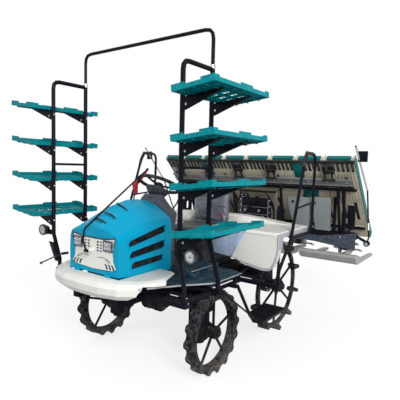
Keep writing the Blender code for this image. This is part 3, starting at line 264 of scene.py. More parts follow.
# Axle and gearbox. Black iron castings with ribs, joined by flange bolts. The
# engine, gear cases, hitch and planting frame have the same finish.
AXLE_Y, REAR_AXLE_Y, REAR_AXLE_Z = -0.900, 0.230, 0.450
GEARBOX_X, FLANGE_X, FLANGE_R = 0.180, 0.525, 0.066
SHARP_ANGLE = math.radians(32)       # edges above this stay crisp
casting = finish_of("casting_black", (0.0050, 0.0060, 0.0090), 0.55, spec=0.10, dust=(0.06, 0.22, 0.42),
                    bare=((0.05, 0.05, 0.05, 1), 0.3, 30.0), relief=(150.0, 0.0012, 0.6),
                    soil=(0.12, 0.10, 0.085, 1))
zinc = finish_of("zinc_plate", (0.52, 0.53, 0.54), 0.32, metallic=1.0, drift=(30.0, 0.2), dust=(0.15, 0.1, 0.6))
dress(casting, "front_axle", "transmission", "engine_block", "front_gear_case_left", "front_gear_case_right",
      "hitch", "planting_frame")


def slab(bm, outline, across, low, high, edge=0.0, place=None):
    """Add an outline, given on the plane that the named axis crosses, drawn out from low to high."""
    rings = []
    for t in (low, high):
        ring = []
        for p in outline:
            co = list(p)
            co.insert("xyz".index(across), t)
            ring.append(bm.verts.new(place @ Vector(co) if place else co))
        rings.append(ring)
    n = len(outline)
    faces = [bm.faces.new(rings[0]), bm.faces.new(rings[1][::-1])]
    for k in range(n):
        faces.append(bm.faces.new((rings[0][k], rings[1][k], rings[1][(k + 1) % n], rings[0][(k + 1) % n])))
    if edge:
        rim = list({e for f in faces for e in f.edges})
        bmesh.ops.bevel(bm, geom=rim, offset=edge, segments=2, profile=0.6, affect="EDGES", clamp_overlap=True)


def block(bm, low, high, edge=0.003, place=None):
    """Add a box with rounded edges between two corners given in any order."""
    (x0, x1), (y0, y1), (z0, z1) = (sorted(pair) for pair in zip(low, high))
    slab(bm, [(x0, y0), (x1, y0), (x1, y1), (x0, y1)], "z", z0, z1, edge, place)


def lathe(bm, profile, foot, axis, steps=20):
    """Add a round form from (radius, distance along the axis) points."""
    turn = Vector(axis).to_track_quat("Z", "Y").to_matrix()
    rings = []
    for r, t in profile:
        ring = []
        for k in range(steps if r > 1e-6 else 1):
            a = 2 * math.pi * k / steps
            ring.append(bm.verts.new(Vector(foot) + turn @ Vector((r * math.cos(a), r * math.sin(a), t))))
        rings.append(ring)
    for a, b in zip(rings, rings[1:]):
        for k in range(steps):
            quad = (a[k % len(a)], a[(k + 1) % len(a)], b[(k + 1) % len(b)], b[k % len(b)])
            quad = list(dict.fromkeys(quad))
            if len(quad) > 2:
                bm.faces.new(quad)
    for ring in (rings[0], rings[-1]):
        if len(ring) > 1:
            bm.faces.new(ring)


def bolts(bm, places, axis, size=0.007):
    """Add hex bolts with washers standing out along an axis."""
    for p in places:
        lathe(bm, [(size * 1.5, -0.001), (size * 1.5, size * 0.2), (size * 1.35, size * 0.3)], p, axis, 16)
        lathe(bm, [(size, size * 0.2), (size, size * 0.8), (size * 0.85, size)], p, axis, 6)


def circle(centre, radius, angles, plane):
    """Points at the given angles on a circle in the yz or xz plane."""
    spokes = [(radius * math.cos(a), radius * math.sin(a)) for a in angles]
    return [Vector(centre) + Vector((0, c, s) if plane == "yz" else (c, 0, s)) for c, s in spokes]


def turns(count, start=0.0):
    """Equal angles round a circle, the first one moved on by a part of their pitch."""
    return [2 * math.pi * (k + start) / count for k in range(count)]


def put(name, bm, material, body):
    """Turn the gathered mesh into a piece that rides on a body."""
    bmesh.ops.recalc_face_normals(bm, faces=bm.faces)
    me = bpy.data.meshes.new(name)
    bm.to_mesh(me)
    bm.free()
    me.shade_smooth()
    me.set_sharp_from_angle(angle=SHARP_ANGLE)
    me.materials.append(material)
    ob = bpy.data.objects.new(name, me)
    scene.collection.objects.link(ob)
    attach(ob, body)


ribs, hard = bmesh.new(), bmesh.new()
for x in (-0.08, -0.04, 0.04, 0.08):
    lathe(ribs, [(0.099, -0.003), (0.102, 0.0), (0.099, 0.003)], (x, AXLE_Y, 0.470), (1, 0, 0), 24)
for sx in (1, -1):
    for k in range(5):
        y = -0.56 + 0.16 * k
        block(ribs, (sx * (GEARBOX_X - 0.002), y, 0.465), (sx * (GEARBOX_X + 0.008), y + 0.010, 0.570), 0.002)
    bolts(hard, [(sx * GEARBOX_X, -0.50 + 0.16 * k, 0.585) for k in range(5)], (sx, 0, 0))
    flange = circle((sx * FLANGE_X, REAR_AXLE_Y, REAR_AXLE_Z), FLANGE_R, (3.5, 4.2, 5.2, 5.9), "yz")
    bolts(hard, flange, (sx, 0, 0), 0.006)
    bolts(hard, [(sx * 0.22, y, 0.690) for y in (-0.885, -0.915)], (0, 0, 1), 0.008)
put("gearbox_ribs", ribs, casting, "chassis")
put("gearbox_bolts", hard, zinc, "chassis")

# Front gear cases. One casting hangs from each end of the axle and turns with
# its wheel: ribs round the neck, a ring of lid bolts and an oil plug below.
KINGPIN_X, HUB_Z, NECK_Z, NECK_R, ARM_Y = 0.470, 0.325, 0.400, 0.0735, -0.740
NECK_RIB = [(-0.010, -0.070), (0.012, -0.055), (0.012, 0.095), (-0.010, 0.105)]
for side, sx in (("left", 1), ("right", -1)):
    ribs, hard = bmesh.new(), bmesh.new()
    kx = sx * KINGPIN_X
    for a in turns(8):
        at = Vector((kx + NECK_R * math.cos(a), AXLE_Y + NECK_R * math.sin(a), NECK_Z))
        slab(ribs, NECK_RIB, "y", -0.003, 0.003, 0.001, Matrix.Translation(at) @ Matrix.Rotation(a, 4, "Z"))
    bolts(hard, circle((kx - sx * 0.055, AXLE_Y, HUB_Z), 0.050, turns(6), "yz"), (-sx, 0, 0), 0.006)
    bolts(hard, [(kx, ARM_Y, 0.421)], (0, 0, -1), 0.009)
    put("gear_case_ribs_" + side, ribs, casting, "gear_case_" + side)
    put("gear_case_bolts_" + side, hard, zinc, "gear_case_" + side)

# Tie rod. A black bar that joins the two steering arms, with a ribbed rubber
# boot over each ball eye to keep mud out.
BOOT = [(0.012, 0.0), (0.018, 0.004), (0.014, 0.009), (0.016, 0.012), (0.010, 0.016), (0.0, 0.016)]
rubber = finish_of("rubber_black", (0.009, 0.009, 0.010), 0.70, spec=0.12, relief=(260.0, 0.0005, 0.6))
bm = bmesh.new()
for sx in (1, -1):
    lathe(bm, BOOT, (sx * KINGPIN_X, ARM_Y, 0.469), (0, 0, 1), 16)
put("tie_rod_boots", bm, rubber, "tie_bar")

# Wheels. Solid rubber moulded round a steel band, with lugs in front and paddles
# behind; dried mud sits low on them. Each cast hub has a bolted lid, and the rear
# hub also has a boss at the root of every spoke.
TRACK_X = 0.61
FRONT_LID = [(0.046, -0.001), (0.044, 0.006), (0.028, 0.010), (0.024, 0.022), (0.0, 0.024)]
REAR_LID = [(0.052, -0.001), (0.050, 0.008), (0.034, 0.014), (0.030, 0.030), (0.0, 0.032)]
SPOKE_BOSS = [(0.019, -0.006), (0.017, 0.020), (0.013, 0.030)]
RUBBER = dict(colour=(0.0070, 0.0070, 0.0090), rough=0.80, spec=0.08, relief=(90.0, 0.0015, 0.7))
tyre = finish_of("tyre_rubber", dust=(0.03, 1.0, 0.22), soil=(0.20, 0.175, 0.150, 1), **RUBBER)
paddle = finish_of("paddle_rubber", dust=(0.03, 1.0, 0.34), soil=(0.17, 0.155, 0.140, 1), **RUBBER)
dress(tyre, "wheel_front_left", "wheel_front_right")
dress(paddle, "wheel_rear_left", "wheel_rear_right")
for side, sx in (("left", 1), ("right", -1)):
    for end, y, z, out, lid, ring, bolt in (("front", AXLE_Y, HUB_Z, 0.040, FRONT_LID, 0.037, 0.0052),
                                            ("rear", REAR_AXLE_Y, REAR_AXLE_Z, 0.046, REAR_LID, 0.043, 0.006)):
        bm = bmesh.new()
        centre = Vector((sx * TRACK_X, y, z))
        lathe(bm, lid, centre + Vector((sx * out, 0, 0)), (sx, 0, 0), 28)
        bolts(bm, circle(centre + Vector((sx * (out + 0.001), 0, 0)), ring, turns(6), "yz"), (sx, 0, 0), bolt)
        if end == "rear":
            for foot in circle(centre, 0.060, turns(6, 0.4), "yz"):
                lathe(bm, SPOKE_BOSS, foot, (foot - centre).normalized(), 12)
        put("%s_hub_%s" % (end, side), bm, casting, "%s_%s" % (end, side))

# Radiator. A finned block on the engine that shows dark through the louvres.
# Its upright fins are folded strip, all blackened.
RADIATOR_X, RADIATOR_Y, FINS = 0.200, -1.470, 26
black_plastic = finish_of("black_plastic", (0.005, 0.006, 0.009), 0.48, spec=0.12, relief=(500.0, 0.0002, 0.5))
bm = bmesh.new()
block(bm, (-RADIATOR_X, RADIATOR_Y, 0.900), (RADIATOR_X, RADIATOR_Y + 0.018, 1.085), 0.004)
for k in range(FINS):
    x = -0.195 + 0.390 * k / (FINS - 1)
    block(bm, (x - 0.001, RADIATOR_Y - 0.008, 0.905), (x + 0.001, RADIATOR_Y, 1.080), 0.0)
put("radiator", bm, black_plastic, "chassis")

# Floor plate. Painted steel with rows of raised bars, leaning left and right in
# turn, on the two low wings and on the raised middle; a bright strip edges the
# middle and follows the outer rim.
BAR_HALF, BAR_LEAN, BAR_PITCH = 0.008, 0.008, 0.026
WING_X, WING_Y, WING_Z, WING_PITCH = 0.475, -0.990, 0.7495, 0.022
MIDDLE_X, MIDDLE_Y, MIDDLE_Z, MIDDLE_PITCH = 0.016, -0.978, 0.7945, 0.0265
WING_CURVE = [(0.478, -1.525, 0.786), (0.560, -1.300, 0.772), (0.6725, -0.985, 0.744), (0.6725, -0.600, 0.744)]
floor_paint = finish_of("floor_teal", (0.0, 0.032, 0.056), 0.55, spec=0.02, dust=(0.01, 0.0, 0.5),
                        relief=(500.0, 0.0003, 0.5))
dress(floor_paint, "floor_plate")


def tread(bm, sx, x, y, odd, low):
    """Add one raised bar of the floor, leaning one way or the other."""
    lean = BAR_LEAN if odd else -BAR_LEAN
    outline = [(x - BAR_HALF, y - lean - 0.002), (x + BAR_HALF, y + lean - 0.002),
               (x + BAR_HALF, y + lean + 0.002), (x - BAR_HALF, y - lean + 0.002)]
    slab(bm, [(sx * a, b) for a, b in outline], "z", low, low + 0.0027)


def pipe(bm, points, radius, bend=0.0, steps=10, place=None):
    """Add a round bar through points, its corners rounded over the length bend."""
    pts = [place @ Vector(p) if place else Vector(p) for p in points]
    way = [pts[0]]
    for a, b, c in zip(pts, pts[1:], pts[2:]):
        if bend:
            p, q = b + (a - b).normalized() * bend, b + (c - b).normalized() * bend
            way += [p * (1 - t) ** 2 + b * 2 * t * (1 - t) + q * t * t for t in (0.0, 0.25, 0.5, 0.75, 1.0)]
        else:
            way.append(b)
    way.append(pts[-1])
    side = (way[1] - way[0]).orthogonal().normalized()
    rings = []
    for k, p in enumerate(way):
        along = (way[min(k + 1, len(way) - 1)] - way[max(k - 1, 0)]).normalized()
        side = (side - along * side.dot(along)).normalized()
        other = along.cross(side)
        spokes = [(math.cos(a), math.sin(a)) for a in turns(steps)]
        rings.append([bm.verts.new(p + (side * c + other * s) * radius) for c, s in spokes])
    for a, b in zip(rings, rings[1:]):
        for j in range(steps):
            bm.faces.new((a[j], a[(j + 1) % steps], b[(j + 1) % steps], b[j]))
    bm.faces.new(rings[0])
    bm.faces.new(rings[-1])


treads, trim = bmesh.new(), bmesh.new()
for sx in (1, -1):
    for i in range(9):
        for j in range(15):
            x, y = WING_X + WING_PITCH * i, WING_Y + BAR_PITCH * j
            if x < 0.656 and not (x > 0.56 and y > -0.61):
                tread(treads, sx, x, y, (i + j) % 2, WING_Z)
    for i in range(17):
        for j in range(14):
            x, y = MIDDLE_X + MIDDLE_PITCH * i, MIDDLE_Y + BAR_PITCH * j
            if (sx > 0 or x > 0.02) and (x > 0.225 or y > -0.88):
                tread(treads, sx, x, y, (i + j) % 2, MIDDLE_Z)
    pipe(trim, [(sx * 0.4545, -1.000, 0.7965), (sx * 0.4545, -0.620, 0.7965)], 0.0035, steps=8)
    pipe(trim, [(sx * x, y, z) for x, y, z in WING_CURVE], 0.0056, 0.04, 8)
put("floor_treads", treads, floor_paint, "chassis")
put("floor_trim", trim, zinc, "chassis")

# Side steps. Flat steel treads on the frame's outriggers, with rows of low
# pressed studs for grip.
STEP_X, STEP_Y, STEP_Z = 0.722, -0.590, 0.398
bm = bmesh.new()
for sx in (1, -1):
    for i in range(6):
        for j in range(11):
            x, y = STEP_X + 0.032 * i, STEP_Y + 0.036 * j
            if x < 0.90 and (x > 0.80 or y > -0.50):
                stud = [(0.008, -0.001), (0.0075, 0.0022), (0.004, 0.003), (0.0, 0.003)]
                lathe(bm, stud, (sx * x, y, STEP_Z), (0, 0, 1), 8)
put("step_studs", bm, powder, "chassis")

# Apron. A cream moulding below the bonnet, like the mask and the rear cover,
# held by one bolt at each corner.
cream = finish_of("cream_moulding", (0.76, 0.745, 0.70), 0.36, drift=(1.6, 0.06), dust=(0.12, 0.08, 0.80),
                  bare=((0.55, 0.53, 0.50, 1), 0.2, 30.0), relief=(500.0, 0.0001, 0.2),
                  soil=(0.42, 0.38, 0.32, 1))
dress(cream, "front_apron", "grille_mask", "rear_cover")
bm = bmesh.new()
for sx in (1, -1):
    bolts(bm, [(sx * 0.456, -1.574, 0.788)], (sx * 0.88, -0.47, 0))
put("apron_bolts", bm, zinc, "chassis")

# Bonnet. A blue moulded shell under a clear coat. A raised lip runs round each
# louvre, with dark mesh behind it; a hood stands over each of the three slits on
# top, and a bolt holds each hinge ear.
LOUVRES = ((-1.496, 1.034, 1.091, -1.111, 1.099, 1.163),       # front y, low z, high z, then the same at the back
           (-1.485, 0.951, 1.000, -1.114, 0.984, 1.047),
           (-1.467, 0.872, 0.921, -1.132, 0.888, 0.935))
LIP_X, LIP_OUT_Y, LIP_OUT_Z = 0.2738, 0.005, 0.0042
MESH_X, MESH_ROWS, MESH_COLUMNS = 0.243, 5, 30
SLITS = ((0.002, -1.372), (0.002, -1.487), (-0.025, -1.555))   # left end x, y
HOOD_WIDE, HOOD_HIGH, HOOD_STEPS = 0.127, 0.0125, 14
OVERHEAD = 1.5                       # a height above the bonnet, from which its skin is felt
bonnet_paint = finish_of("bonnet_blue", (0.0, 0.305, 0.500), 0.36, coat=0.04, spec=0.10, drift=(2.5, 0.08),
                         dust=(0.01, 0.0, 0.5), bare=((0.02, 0.45, 0.62, 1), 0.25, 40.0),
                         relief=(60.0, 0.0001, 0.15))
dress(bonnet_paint, "bonnet")
lips, mesh = bmesh.new(), bmesh.new()
for sx in (1, -1):
    for y0, low0, high0, y1, low1, high1 in LOUVRES:
        slot = [Vector(p) for p in ((y0, low0), (y1 - 0.012, low1), (y1, low1 + 0.010), (y1, high1),
                                    (y0 + 0.022, high0), (y0, high0 - 0.016))]
        mid = sum(slot, Vector((0, 0))) / 6
        wider = [p + Vector((math.copysign(LIP_OUT_Y, p.x - mid.x), math.copysign(LIP_OUT_Z, p.y - mid.y)))
                 for p in slot]
        pipe(lips, [(sx * LIP_X, y, z) for y, z in wider + wider[:1]], 0.0036, steps=8)
        for k in range(MESH_ROWS):
            t = (k + 0.5) / MESH_ROWS
            a, b = low0 + (high0 - low0) * t, low1 + (high1 - low1) * t
            pipe(mesh, [(sx * MESH_X, y0 - 0.004, a), (sx * MESH_X, y1 + 0.006, b)], 0.0014, steps=5)
        for k in range(MESH_COLUMNS):
            t = (k + 0.5) / MESH_COLUMNS
            x, y = sx * (MESH_X + 0.0005), y0 + (y1 - y0) * t
            a, b = low0 + (low1 - low0) * t, high0 + (high1 - high0) * t
            pipe(mesh, [(x, y, a - 0.006), (x, y, b + 0.006)], 0.0012, steps=5)
put("louvre_lips", lips, bonnet_paint, "bonnet_lid")
put("louvre_mesh", mesh, black_plastic, "bonnet_lid")

skin = BVHTree.FromObject(nodes["bonnet"], bpy.context.evaluated_depsgraph_get())
hoods, mouths = bmesh.new(), bmesh.new()
for x0, y in SLITS:
    rows = []
    for k in range(HOOD_STEPS + 1):
        t = k / HOOD_STEPS
        x = x0 - 0.006 + HOOD_WIDE * t
        lift = HOOD_HIGH * math.sin(math.pi * (0.04 + 0.92 * t)) ** 0.4
        front, back = (skin.ray_cast(Vector((x, y + d, OVERHEAD)), Vector((0, 0, -1)))[0].z
                       for d in (0.0095, 0.045))
        rows.append([(x, y + 0.0085, front - 0.002), (x, y + 0.0070, front + lift), (x, y + 0.045, back - 0.0006)])
    ends = [[hoods.verts.new(p) for p in row] for row in rows]
    for a, b in zip(ends, ends[1:]):
        for i in range(3):
            hoods.faces.new((a[i], a[(i + 1) % 3], b[(i + 1) % 3], b[i]))
    hoods.faces.new(ends[0][::-1])
    hoods.faces.new(ends[-1])
    drop = Vector((0, 0, 0.0015))
    for a, b in zip(rows, rows[1:]):
        ring = [Vector(a[0]), Vector(a[1]) - drop, Vector(b[1]) - drop, Vector(b[0])]
        near, deep = ([mouths.verts.new(p + Vector((0, dy, 0))) for p in ring] for dy in (-0.0030, -0.0004))
        mouths.faces.new(near)
        mouths.faces.new(deep[::-1])
        for i in range(4):
            j = (i + 1) % 4
            mouths.faces.new((near[j], near[i], deep[i], deep[j]))
put("bonnet_hoods", hoods, bonnet_paint, "bonnet_lid")
put("bonnet_mouths", mouths, black_plastic, "bonnet_lid")
bm = bmesh.new()
bolts(bm, [(sx * 0.1675, -1.602, 0.8415) for sx in (1, -1)], (0, 0, 1), 0.005)
put("bonnet_hinge_bolts", bm, bonnet_paint, "bonnet_lid")

# Grille mask. A cream moulding set in the bonnet's nose, with a black strip along
# its top and upper sides that paints the shadow in the gap to the bonnet. It has
# two square headlamps of six small reflectors behind clear plastic, columns of
# black vent slots, and on each side a pair of curved grooves and three slashes,
# the shade inside them painted as black strips on the face.
MASK_Y = -1.588                             # its face
LAMP_X, LENS, RIM = 0.163, 0.040, 0.046     # a headlamp's middle, and half widths
LENS_LOW, LENS_HIGH = 1.012, 1.076
BOWL = [(0.0, 0.0), (0.006, 0.0005), (0.011, 0.002), (0.0125, 0.0038), (0.0125, 0.0)]
GROOVE_SHADE = [(0.050, 0.949), (0.090, 0.955), (0.128, 0.953), (0.158, 0.944), (0.182, 0.931)]
SLASH_SHADE = [(0.0, 0.912), (0.013, 0.914), (0.028, 0.900), (0.036, 0.879), (0.020, 0.876), (0.016, 0.896)]
GAP_SHADOW = [(0.2205, 1.040), (0.2270, 1.075), (0.2370, 1.1065), (0.1200, 1.0895)]
mirror = finish_of("reflector", (0.75, 0.76, 0.78), 0.14, metallic=0.9, drift=(40.0, 0.1),
                   dust=(0.0, 0.0, 0.5), relief=None)


def glass_of(name, tint, rough, weight):
    """Clear plastic with a faint ripple; weight is how much light passes."""
    m, t, shader = start_material(name, Transmission_Weight=weight, IOR=1.46, Roughness=rough)
    t.links.new(place_group(t, "colour_drift", (*tint, 1), 20.0, 0.08)["Color"], shader["Base Color"])
    t.links.new(place_group(t, "fine_relief", 120.0, 0.0004, 0.4)["Normal"], shader["Normal"])
    return m


lamp_glass = glass_of("lamp_glass", (0.80, 0.83, 0.86), 0.06, 0.85)
frames, bowls, lenses, vents_and_groove_shade = (bmesh.new() for _ in range(4))
for sx in (1, -1):
    mid = sx * LAMP_X
    for x0, x1, z0, z1 in ((-RIM, -LENS, LENS_LOW - 0.006, LENS_HIGH + 0.006),
                           (LENS, RIM, LENS_LOW - 0.006, LENS_HIGH + 0.006),
                           (-RIM, RIM, LENS_LOW - 0.006, LENS_LOW), (-RIM, RIM, LENS_HIGH, LENS_HIGH + 0.006)):
        block(frames, (mid + x0, MASK_Y - 0.011, z0), (mid + x1, MASK_Y - 0.001, z1), 0.0015)
    for bm, front, back in ((frames, 0.0078, 0.0062), (lenses, 0.012, 0.0105)):
        block(bm, (mid - LENS, MASK_Y - front, LENS_LOW), (mid + LENS, MASK_Y - back, LENS_HIGH), 0.0005)
    for k in range(3):
        for j in range(2):
            lathe(bowls, BOWL, (mid - 0.026 + 0.026 * k, MASK_Y - 0.0076, 1.030 + 0.029 * j), (0, -1, 0), 16)
    for x, half in ((0.050, 0.010), (0.084, 0.008)):
        for k in range(4):
            z = 1.056 - 0.021 * k
            block(vents_and_groove_shade, (sx * x - half, MASK_Y - 0.0015, z), (sx * x + half, MASK_Y + 0.003, z + 0.011), 0.001)
    # The curved grooves and the slashes are black strips that paint the shade inside them.
    for drop, first in ((0.0, 0), (0.011, 2)):
        pipe(vents_and_groove_shade, [(sx * x, MASK_Y, z - drop) for x, z in GROOVE_SHADE[first:]], 0.0022, steps=6)
    for k in range(3):
        outline = [(sx * (0.122 + 0.034 * k + x), z) for x, z in SLASH_SHADE]
        slab(vents_and_groove_shade, outline, "y", MASK_Y - 0.0015, MASK_Y + 0.003)
put("headlamp_frames", frames, black_plastic, "bonnet_lid")
put("headlamp_bowls", bowls, mirror, "bonnet_lid")
put("headlamp_glass", lenses, lamp_glass, "bonnet_lid")
put("mask_vents_and_groove_shade", vents_and_groove_shade, black_plastic, "bonnet_lid")
# A black strip along the mask's top and upper sides paints the shadow in its gap to the bonnet.
bm = bmesh.new()
way = [(x, MASK_Y - 0.001, z) for x, z in GAP_SHADOW] + [(-x, MASK_Y - 0.001, z) for x, z in GAP_SHADOW[::-1]]
pipe(bm, way, 0.0042, 0.01, 8)
put("mask_gap_shadow", bm, rubber, "bonnet_lid")

# Guide mast. A thin black rod on the mask for steering along the last row, with
# a plastic ball at its top end.
bm = bmesh.new()
lathe(bm, [(0.0, -0.012), (0.008, -0.009), (0.012, 0.0), (0.008, 0.009), (0.0, 0.012)], (0.0, -1.030, 1.586),
      (0, 0.83, 0.55), 16)
put("mast_ball", bm, black_plastic, "mast")

# Instrument cowl. A blue-grey moulding on the floor. A black hood lip stands over
# a dial panel that faces the driver, with two dials, three tell-tales, an
# ignition lock and two knobs; a few vent slots are cut low in its sides.
DASH_Y, DIAL_Z = -0.893, 1.255
dial_white = finish_of("dial_white", (0.62, 0.63, 0.62), 0.5, relief=None)
clear_glass = glass_of("clear_glass", (0.92, 0.94, 0.95), 0.04, 0.95)
dress(finish_of("cowl_grey", (0.066, 0.074, 0.100), 0.48, spec=0.2, dust=(0.04, 0.0, 0.5)), "dash_column")
panel, dials, glass, vents = (bmesh.new() for _ in range(4))
block(panel, (-0.105, DASH_Y - 0.006, 1.205), (0.105, DASH_Y + 0.006, 1.300), 0.004)
block(panel, (-0.100, DASH_Y - 0.010, 1.306), (0.100, DASH_Y + 0.016, 1.314))
for x, r in ((-0.052, 0.034), (0.030, 0.026)):
    for bm, y, profile in (
            (panel, 0.005, [(r + 0.004, 0.0), (r + 0.004, 0.008), (r, 0.009), (r, 0.004)]),
            (dials, 0.006, [(0.0, 0.0), (r, 0.0), (r, 0.002), (0.0, 0.002)]),
            (glass, 0.010, [(0.0, 0.0), (r, -0.001), (r, 0.0005), (r * 0.6, 0.002), (0.0, 0.0025)])):
        lathe(bm, profile, (x, DASH_Y + y, DIAL_Z), (0, 1, 0), 28)
for k in range(3):
    x = 0.070 + 0.010 * k
    block(dials, (x, DASH_Y + 0.004, 1.230), (x + 0.006, DASH_Y + 0.009, 1.278), 0.001)
lathe(panel, [(0.0, 0.014), (0.009, 0.013), (0.012, 0.0)], (-0.135, DASH_Y, 1.225), (0, 1, 0), 18)
for z in (1.120, 1.150):
    lathe(panel, [(0.0, 0.018), (0.007, 0.016), (0.009, 0.0)], (0.150, DASH_Y - 0.010, z), (0, 1, 0), 14)
for z in (0.845, 0.868, 0.891, 0.914):
    for sx in (1, -1):
        block(vents, (sx * 0.2135, -1.000, z), (sx * 0.2172, -0.932, z + 0.009), 0.001)
put("dial_panel", panel, black_plastic, "chassis")
put("dial_faces", dials, dial_white, "chassis")
put("dial_glass", glass, clear_glass, "chassis")
put("cowl_vents", vents, black_plastic, "chassis")

# Steering wheel. Soft black grip over a steel rim, a horn cap on the hub, and a
# ribbed boot that opens into a cup round the column below it.
COLUMN = Vector((0.0, math.sin(math.radians(25.0)), math.cos(math.radians(25.0))))
HUB = Vector((0.0, -0.880, 1.460))
BOOT_RIBS = 5
dress(finish_of("wheel_grip", (0.007, 0.007, 0.009), 0.5, spec=0.15, relief=(600.0, 0.0006, 0.6)), "steering_wheel")
cup_grey = finish_of("cup_grey", (0.040, 0.042, 0.050), 0.42, spec=0.2, relief=(400.0, 0.0002, 0.4))
bm = bmesh.new()
lathe(bm, [(0.0, 0.016), (0.018, 0.014), (0.030, 0.006), (0.035, -0.006), (0.035, -0.020)], HUB, COLUMN, 24)
put("wheel_cap", bm, black_plastic, "steering")
bm = bmesh.new()
profile = []
for k in range(BOOT_RIBS + 1):
    t = k / BOOT_RIBS
    profile += [(0.060 - 0.014 * t, -0.150 + 0.036 * t), (0.054 - 0.014 * t, -0.146 + 0.036 * t)]
profile += [(0.056, -0.106), (0.078, -0.090), (0.098, -0.060), (0.104, -0.046), (0.100, -0.044),
            (0.074, -0.078), (0.034, -0.088)]
lathe(bm, profile, HUB, COLUMN, 28)
put("column_cup", bm, cup_grey, "chassis")

# Levers beside the cowl. Bent steel rods: a flat red plastic blade tops the
# marker lever on the right, a black knob the shift lever on the left.
BLADE = [(-0.986, 1.372), (-1.012, 1.452), (-1.000, 1.458), (-0.935, 1.500), (-0.835, 1.585), (-0.824, 1.574),
         (-0.905, 1.486), (-0.955, 1.452), (-0.950, 1.376)]
KNOB = [(0.0, 0.040), (0.012, 0.036), (0.016, 0.022), (0.012, 0.004), (0.008, 0.0)]
lever_red = finish_of("lever_red", (0.50, 0.016, 0.028), 0.40, relief=(400.0, 0.0002, 0.3))
rods, blade, knob = bmesh.new(), bmesh.new(), bmesh.new()
pipe(rods, [(-0.205, -0.985, 1.150), (-0.200, -0.985, 1.330), (-0.190, -0.975, 1.400)], 0.006, 0.03)
lathe(rods, [(0.024, 0.0), (0.020, 0.012), (0.010, 0.030)], (-0.206, -0.985, 1.200), (0.03, 0, 1), 16)
pipe(rods, [(0.150, -0.905, 1.235), (0.190, -0.880, 1.300), (0.215, -0.850, 1.385)], 0.006, 0.03)
slab(blade, BLADE, "x", -0.196, -0.182, 0.003)
lathe(knob, KNOB, (0.213, -0.853, 1.378), (0.2, 0.33, 0.93), 18)
put("lever_rods", rods, black_plastic, "chassis")
put("red_lever", blade, lever_red, "chassis")
put("shift_knob", knob, black_plastic, "chassis")

# Pedals. Ribbed rubber pads on bent rods hung below the cowl: a wide brake pedal
# on the right and a narrower one on the left.
PEDAL_X, PEDAL_Z, PEDAL_RIBS = 0.315, 0.868, 5
bm = bmesh.new()
for x, half in ((-PEDAL_X, 0.045), (PEDAL_X, 0.038)):
    pipe(bm, [(x, -1.000, 0.800), (x, -0.960, 0.905), (x, -0.930, 0.900)], 0.008, 0.02)
    block(bm, (x - half, -0.940, PEDAL_Z), (x + half, -0.926, PEDAL_Z + 0.054), 0.004)
    for k in range(PEDAL_RIBS):
        z = PEDAL_Z + 0.005 + 0.010 * k
        block(bm, (x - half + 0.004, -0.928, z), (x + half - 0.004, -0.922, z + 0.004), 0.0)
put("pedals", bm, rubber, "chassis")

# Seat pedestal. A blue-grey moulded skirt round the frame's post box, with grip
# slots in its front and sides.
skirt_grey = finish_of("skirt_grey", (0.012, 0.016, 0.026), 0.50, spec=0.15, drift=(3.0, 0.2), dust=(0.1, 0.1, 0.9))
SKIRT_X, SKIRT_FRONT_Y, SKIRT_REAR_Y, SKIRT_SLOTS = 0.2385, -0.5485, -0.0300, 6
bm, dark = bmesh.new(), bmesh.new()
block(bm, (-SKIRT_X, SKIRT_FRONT_Y, 0.7520), (SKIRT_X, SKIRT_REAR_Y, 0.9640), 0.004)
for k in range(SKIRT_SLOTS):
    z = 0.815 + 0.020 * k
    block(dark, (-0.120, SKIRT_FRONT_Y - 0.002, z), (0.120, SKIRT_FRONT_Y + 0.001, z + 0.009), 0.001)
    for sx in (1, -1):
        block(dark, (sx * (SKIRT_X - 0.001), -0.470, z), (sx * (SKIRT_X + 0.002), -0.330, z + 0.009), 0.001)
put("pedestal_skirt", bm, skirt_grey, "chassis")
put("pedestal_slots", dark, black_plastic, "chassis")

# Seat. A moulded pan carries a vinyl cushion and a back pad still in its wrapping
# film, the highlights on the film's crinkles painted in as a strong drift of its
# colour. Both pads are filled with foam: cloth pressure swells them a little and
# rounds their sides.
PAD_LOW_Z, PAD_TOP_Z, PAD_REAR_Y = 0.990, 1.055, -0.085
BACK_HALF, BACK_FRONT_Y, BACK_REAR_Y, BACK_LOW_Z, BACK_LEAN = 0.210, -0.117, -0.048, 1.060, 0.018
VOXEL, PRESSURE, FRAMES, SWELL = 0.007, 4.0, 20, 0.009
seat_low, seat_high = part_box("seat")
seat_vinyl = finish_of("seat_vinyl", (0.030, 0.033, 0.042), 0.36, relief=(380.0, 0.0005, 0.5))
# The film's strong colour drift paints the highlights on its crinkles.
seat_film_painted_sheen = finish_of("seat_film_painted_sheen", (0.085, 0.095, 0.125), 0.16, coat=0.5, drift=(11.0, 1.1),
                      relief=(15.0, 0.026, 0.9))


def rounded_object(name, low, high, lean, round_off, segments):
    """A block that leans back over its height, with rounded edges, as an object of its own."""
    me = bpy.data.meshes.new(name)
    bm = bmesh.new()
    bmesh.ops.create_cube(bm, size=1.0)
    size = high - low
    for v in bm.verts:
        v.co = Vector((low[i] + (v.co[i] + 0.5) * size[i] for i in range(3)))
        v.co.y += lean * (v.co.z - low.z) / size.z
    bmesh.ops.bevel(bm, geom=bm.edges, offset=round_off, segments=segments, profile=0.5, affect="EDGES")
    bm.to_mesh(me)
    bm.free()
    ob = bpy.data.objects.new(name, me)
    scene.collection.objects.link(ob)
    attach(ob, "seat_pan")
    return ob


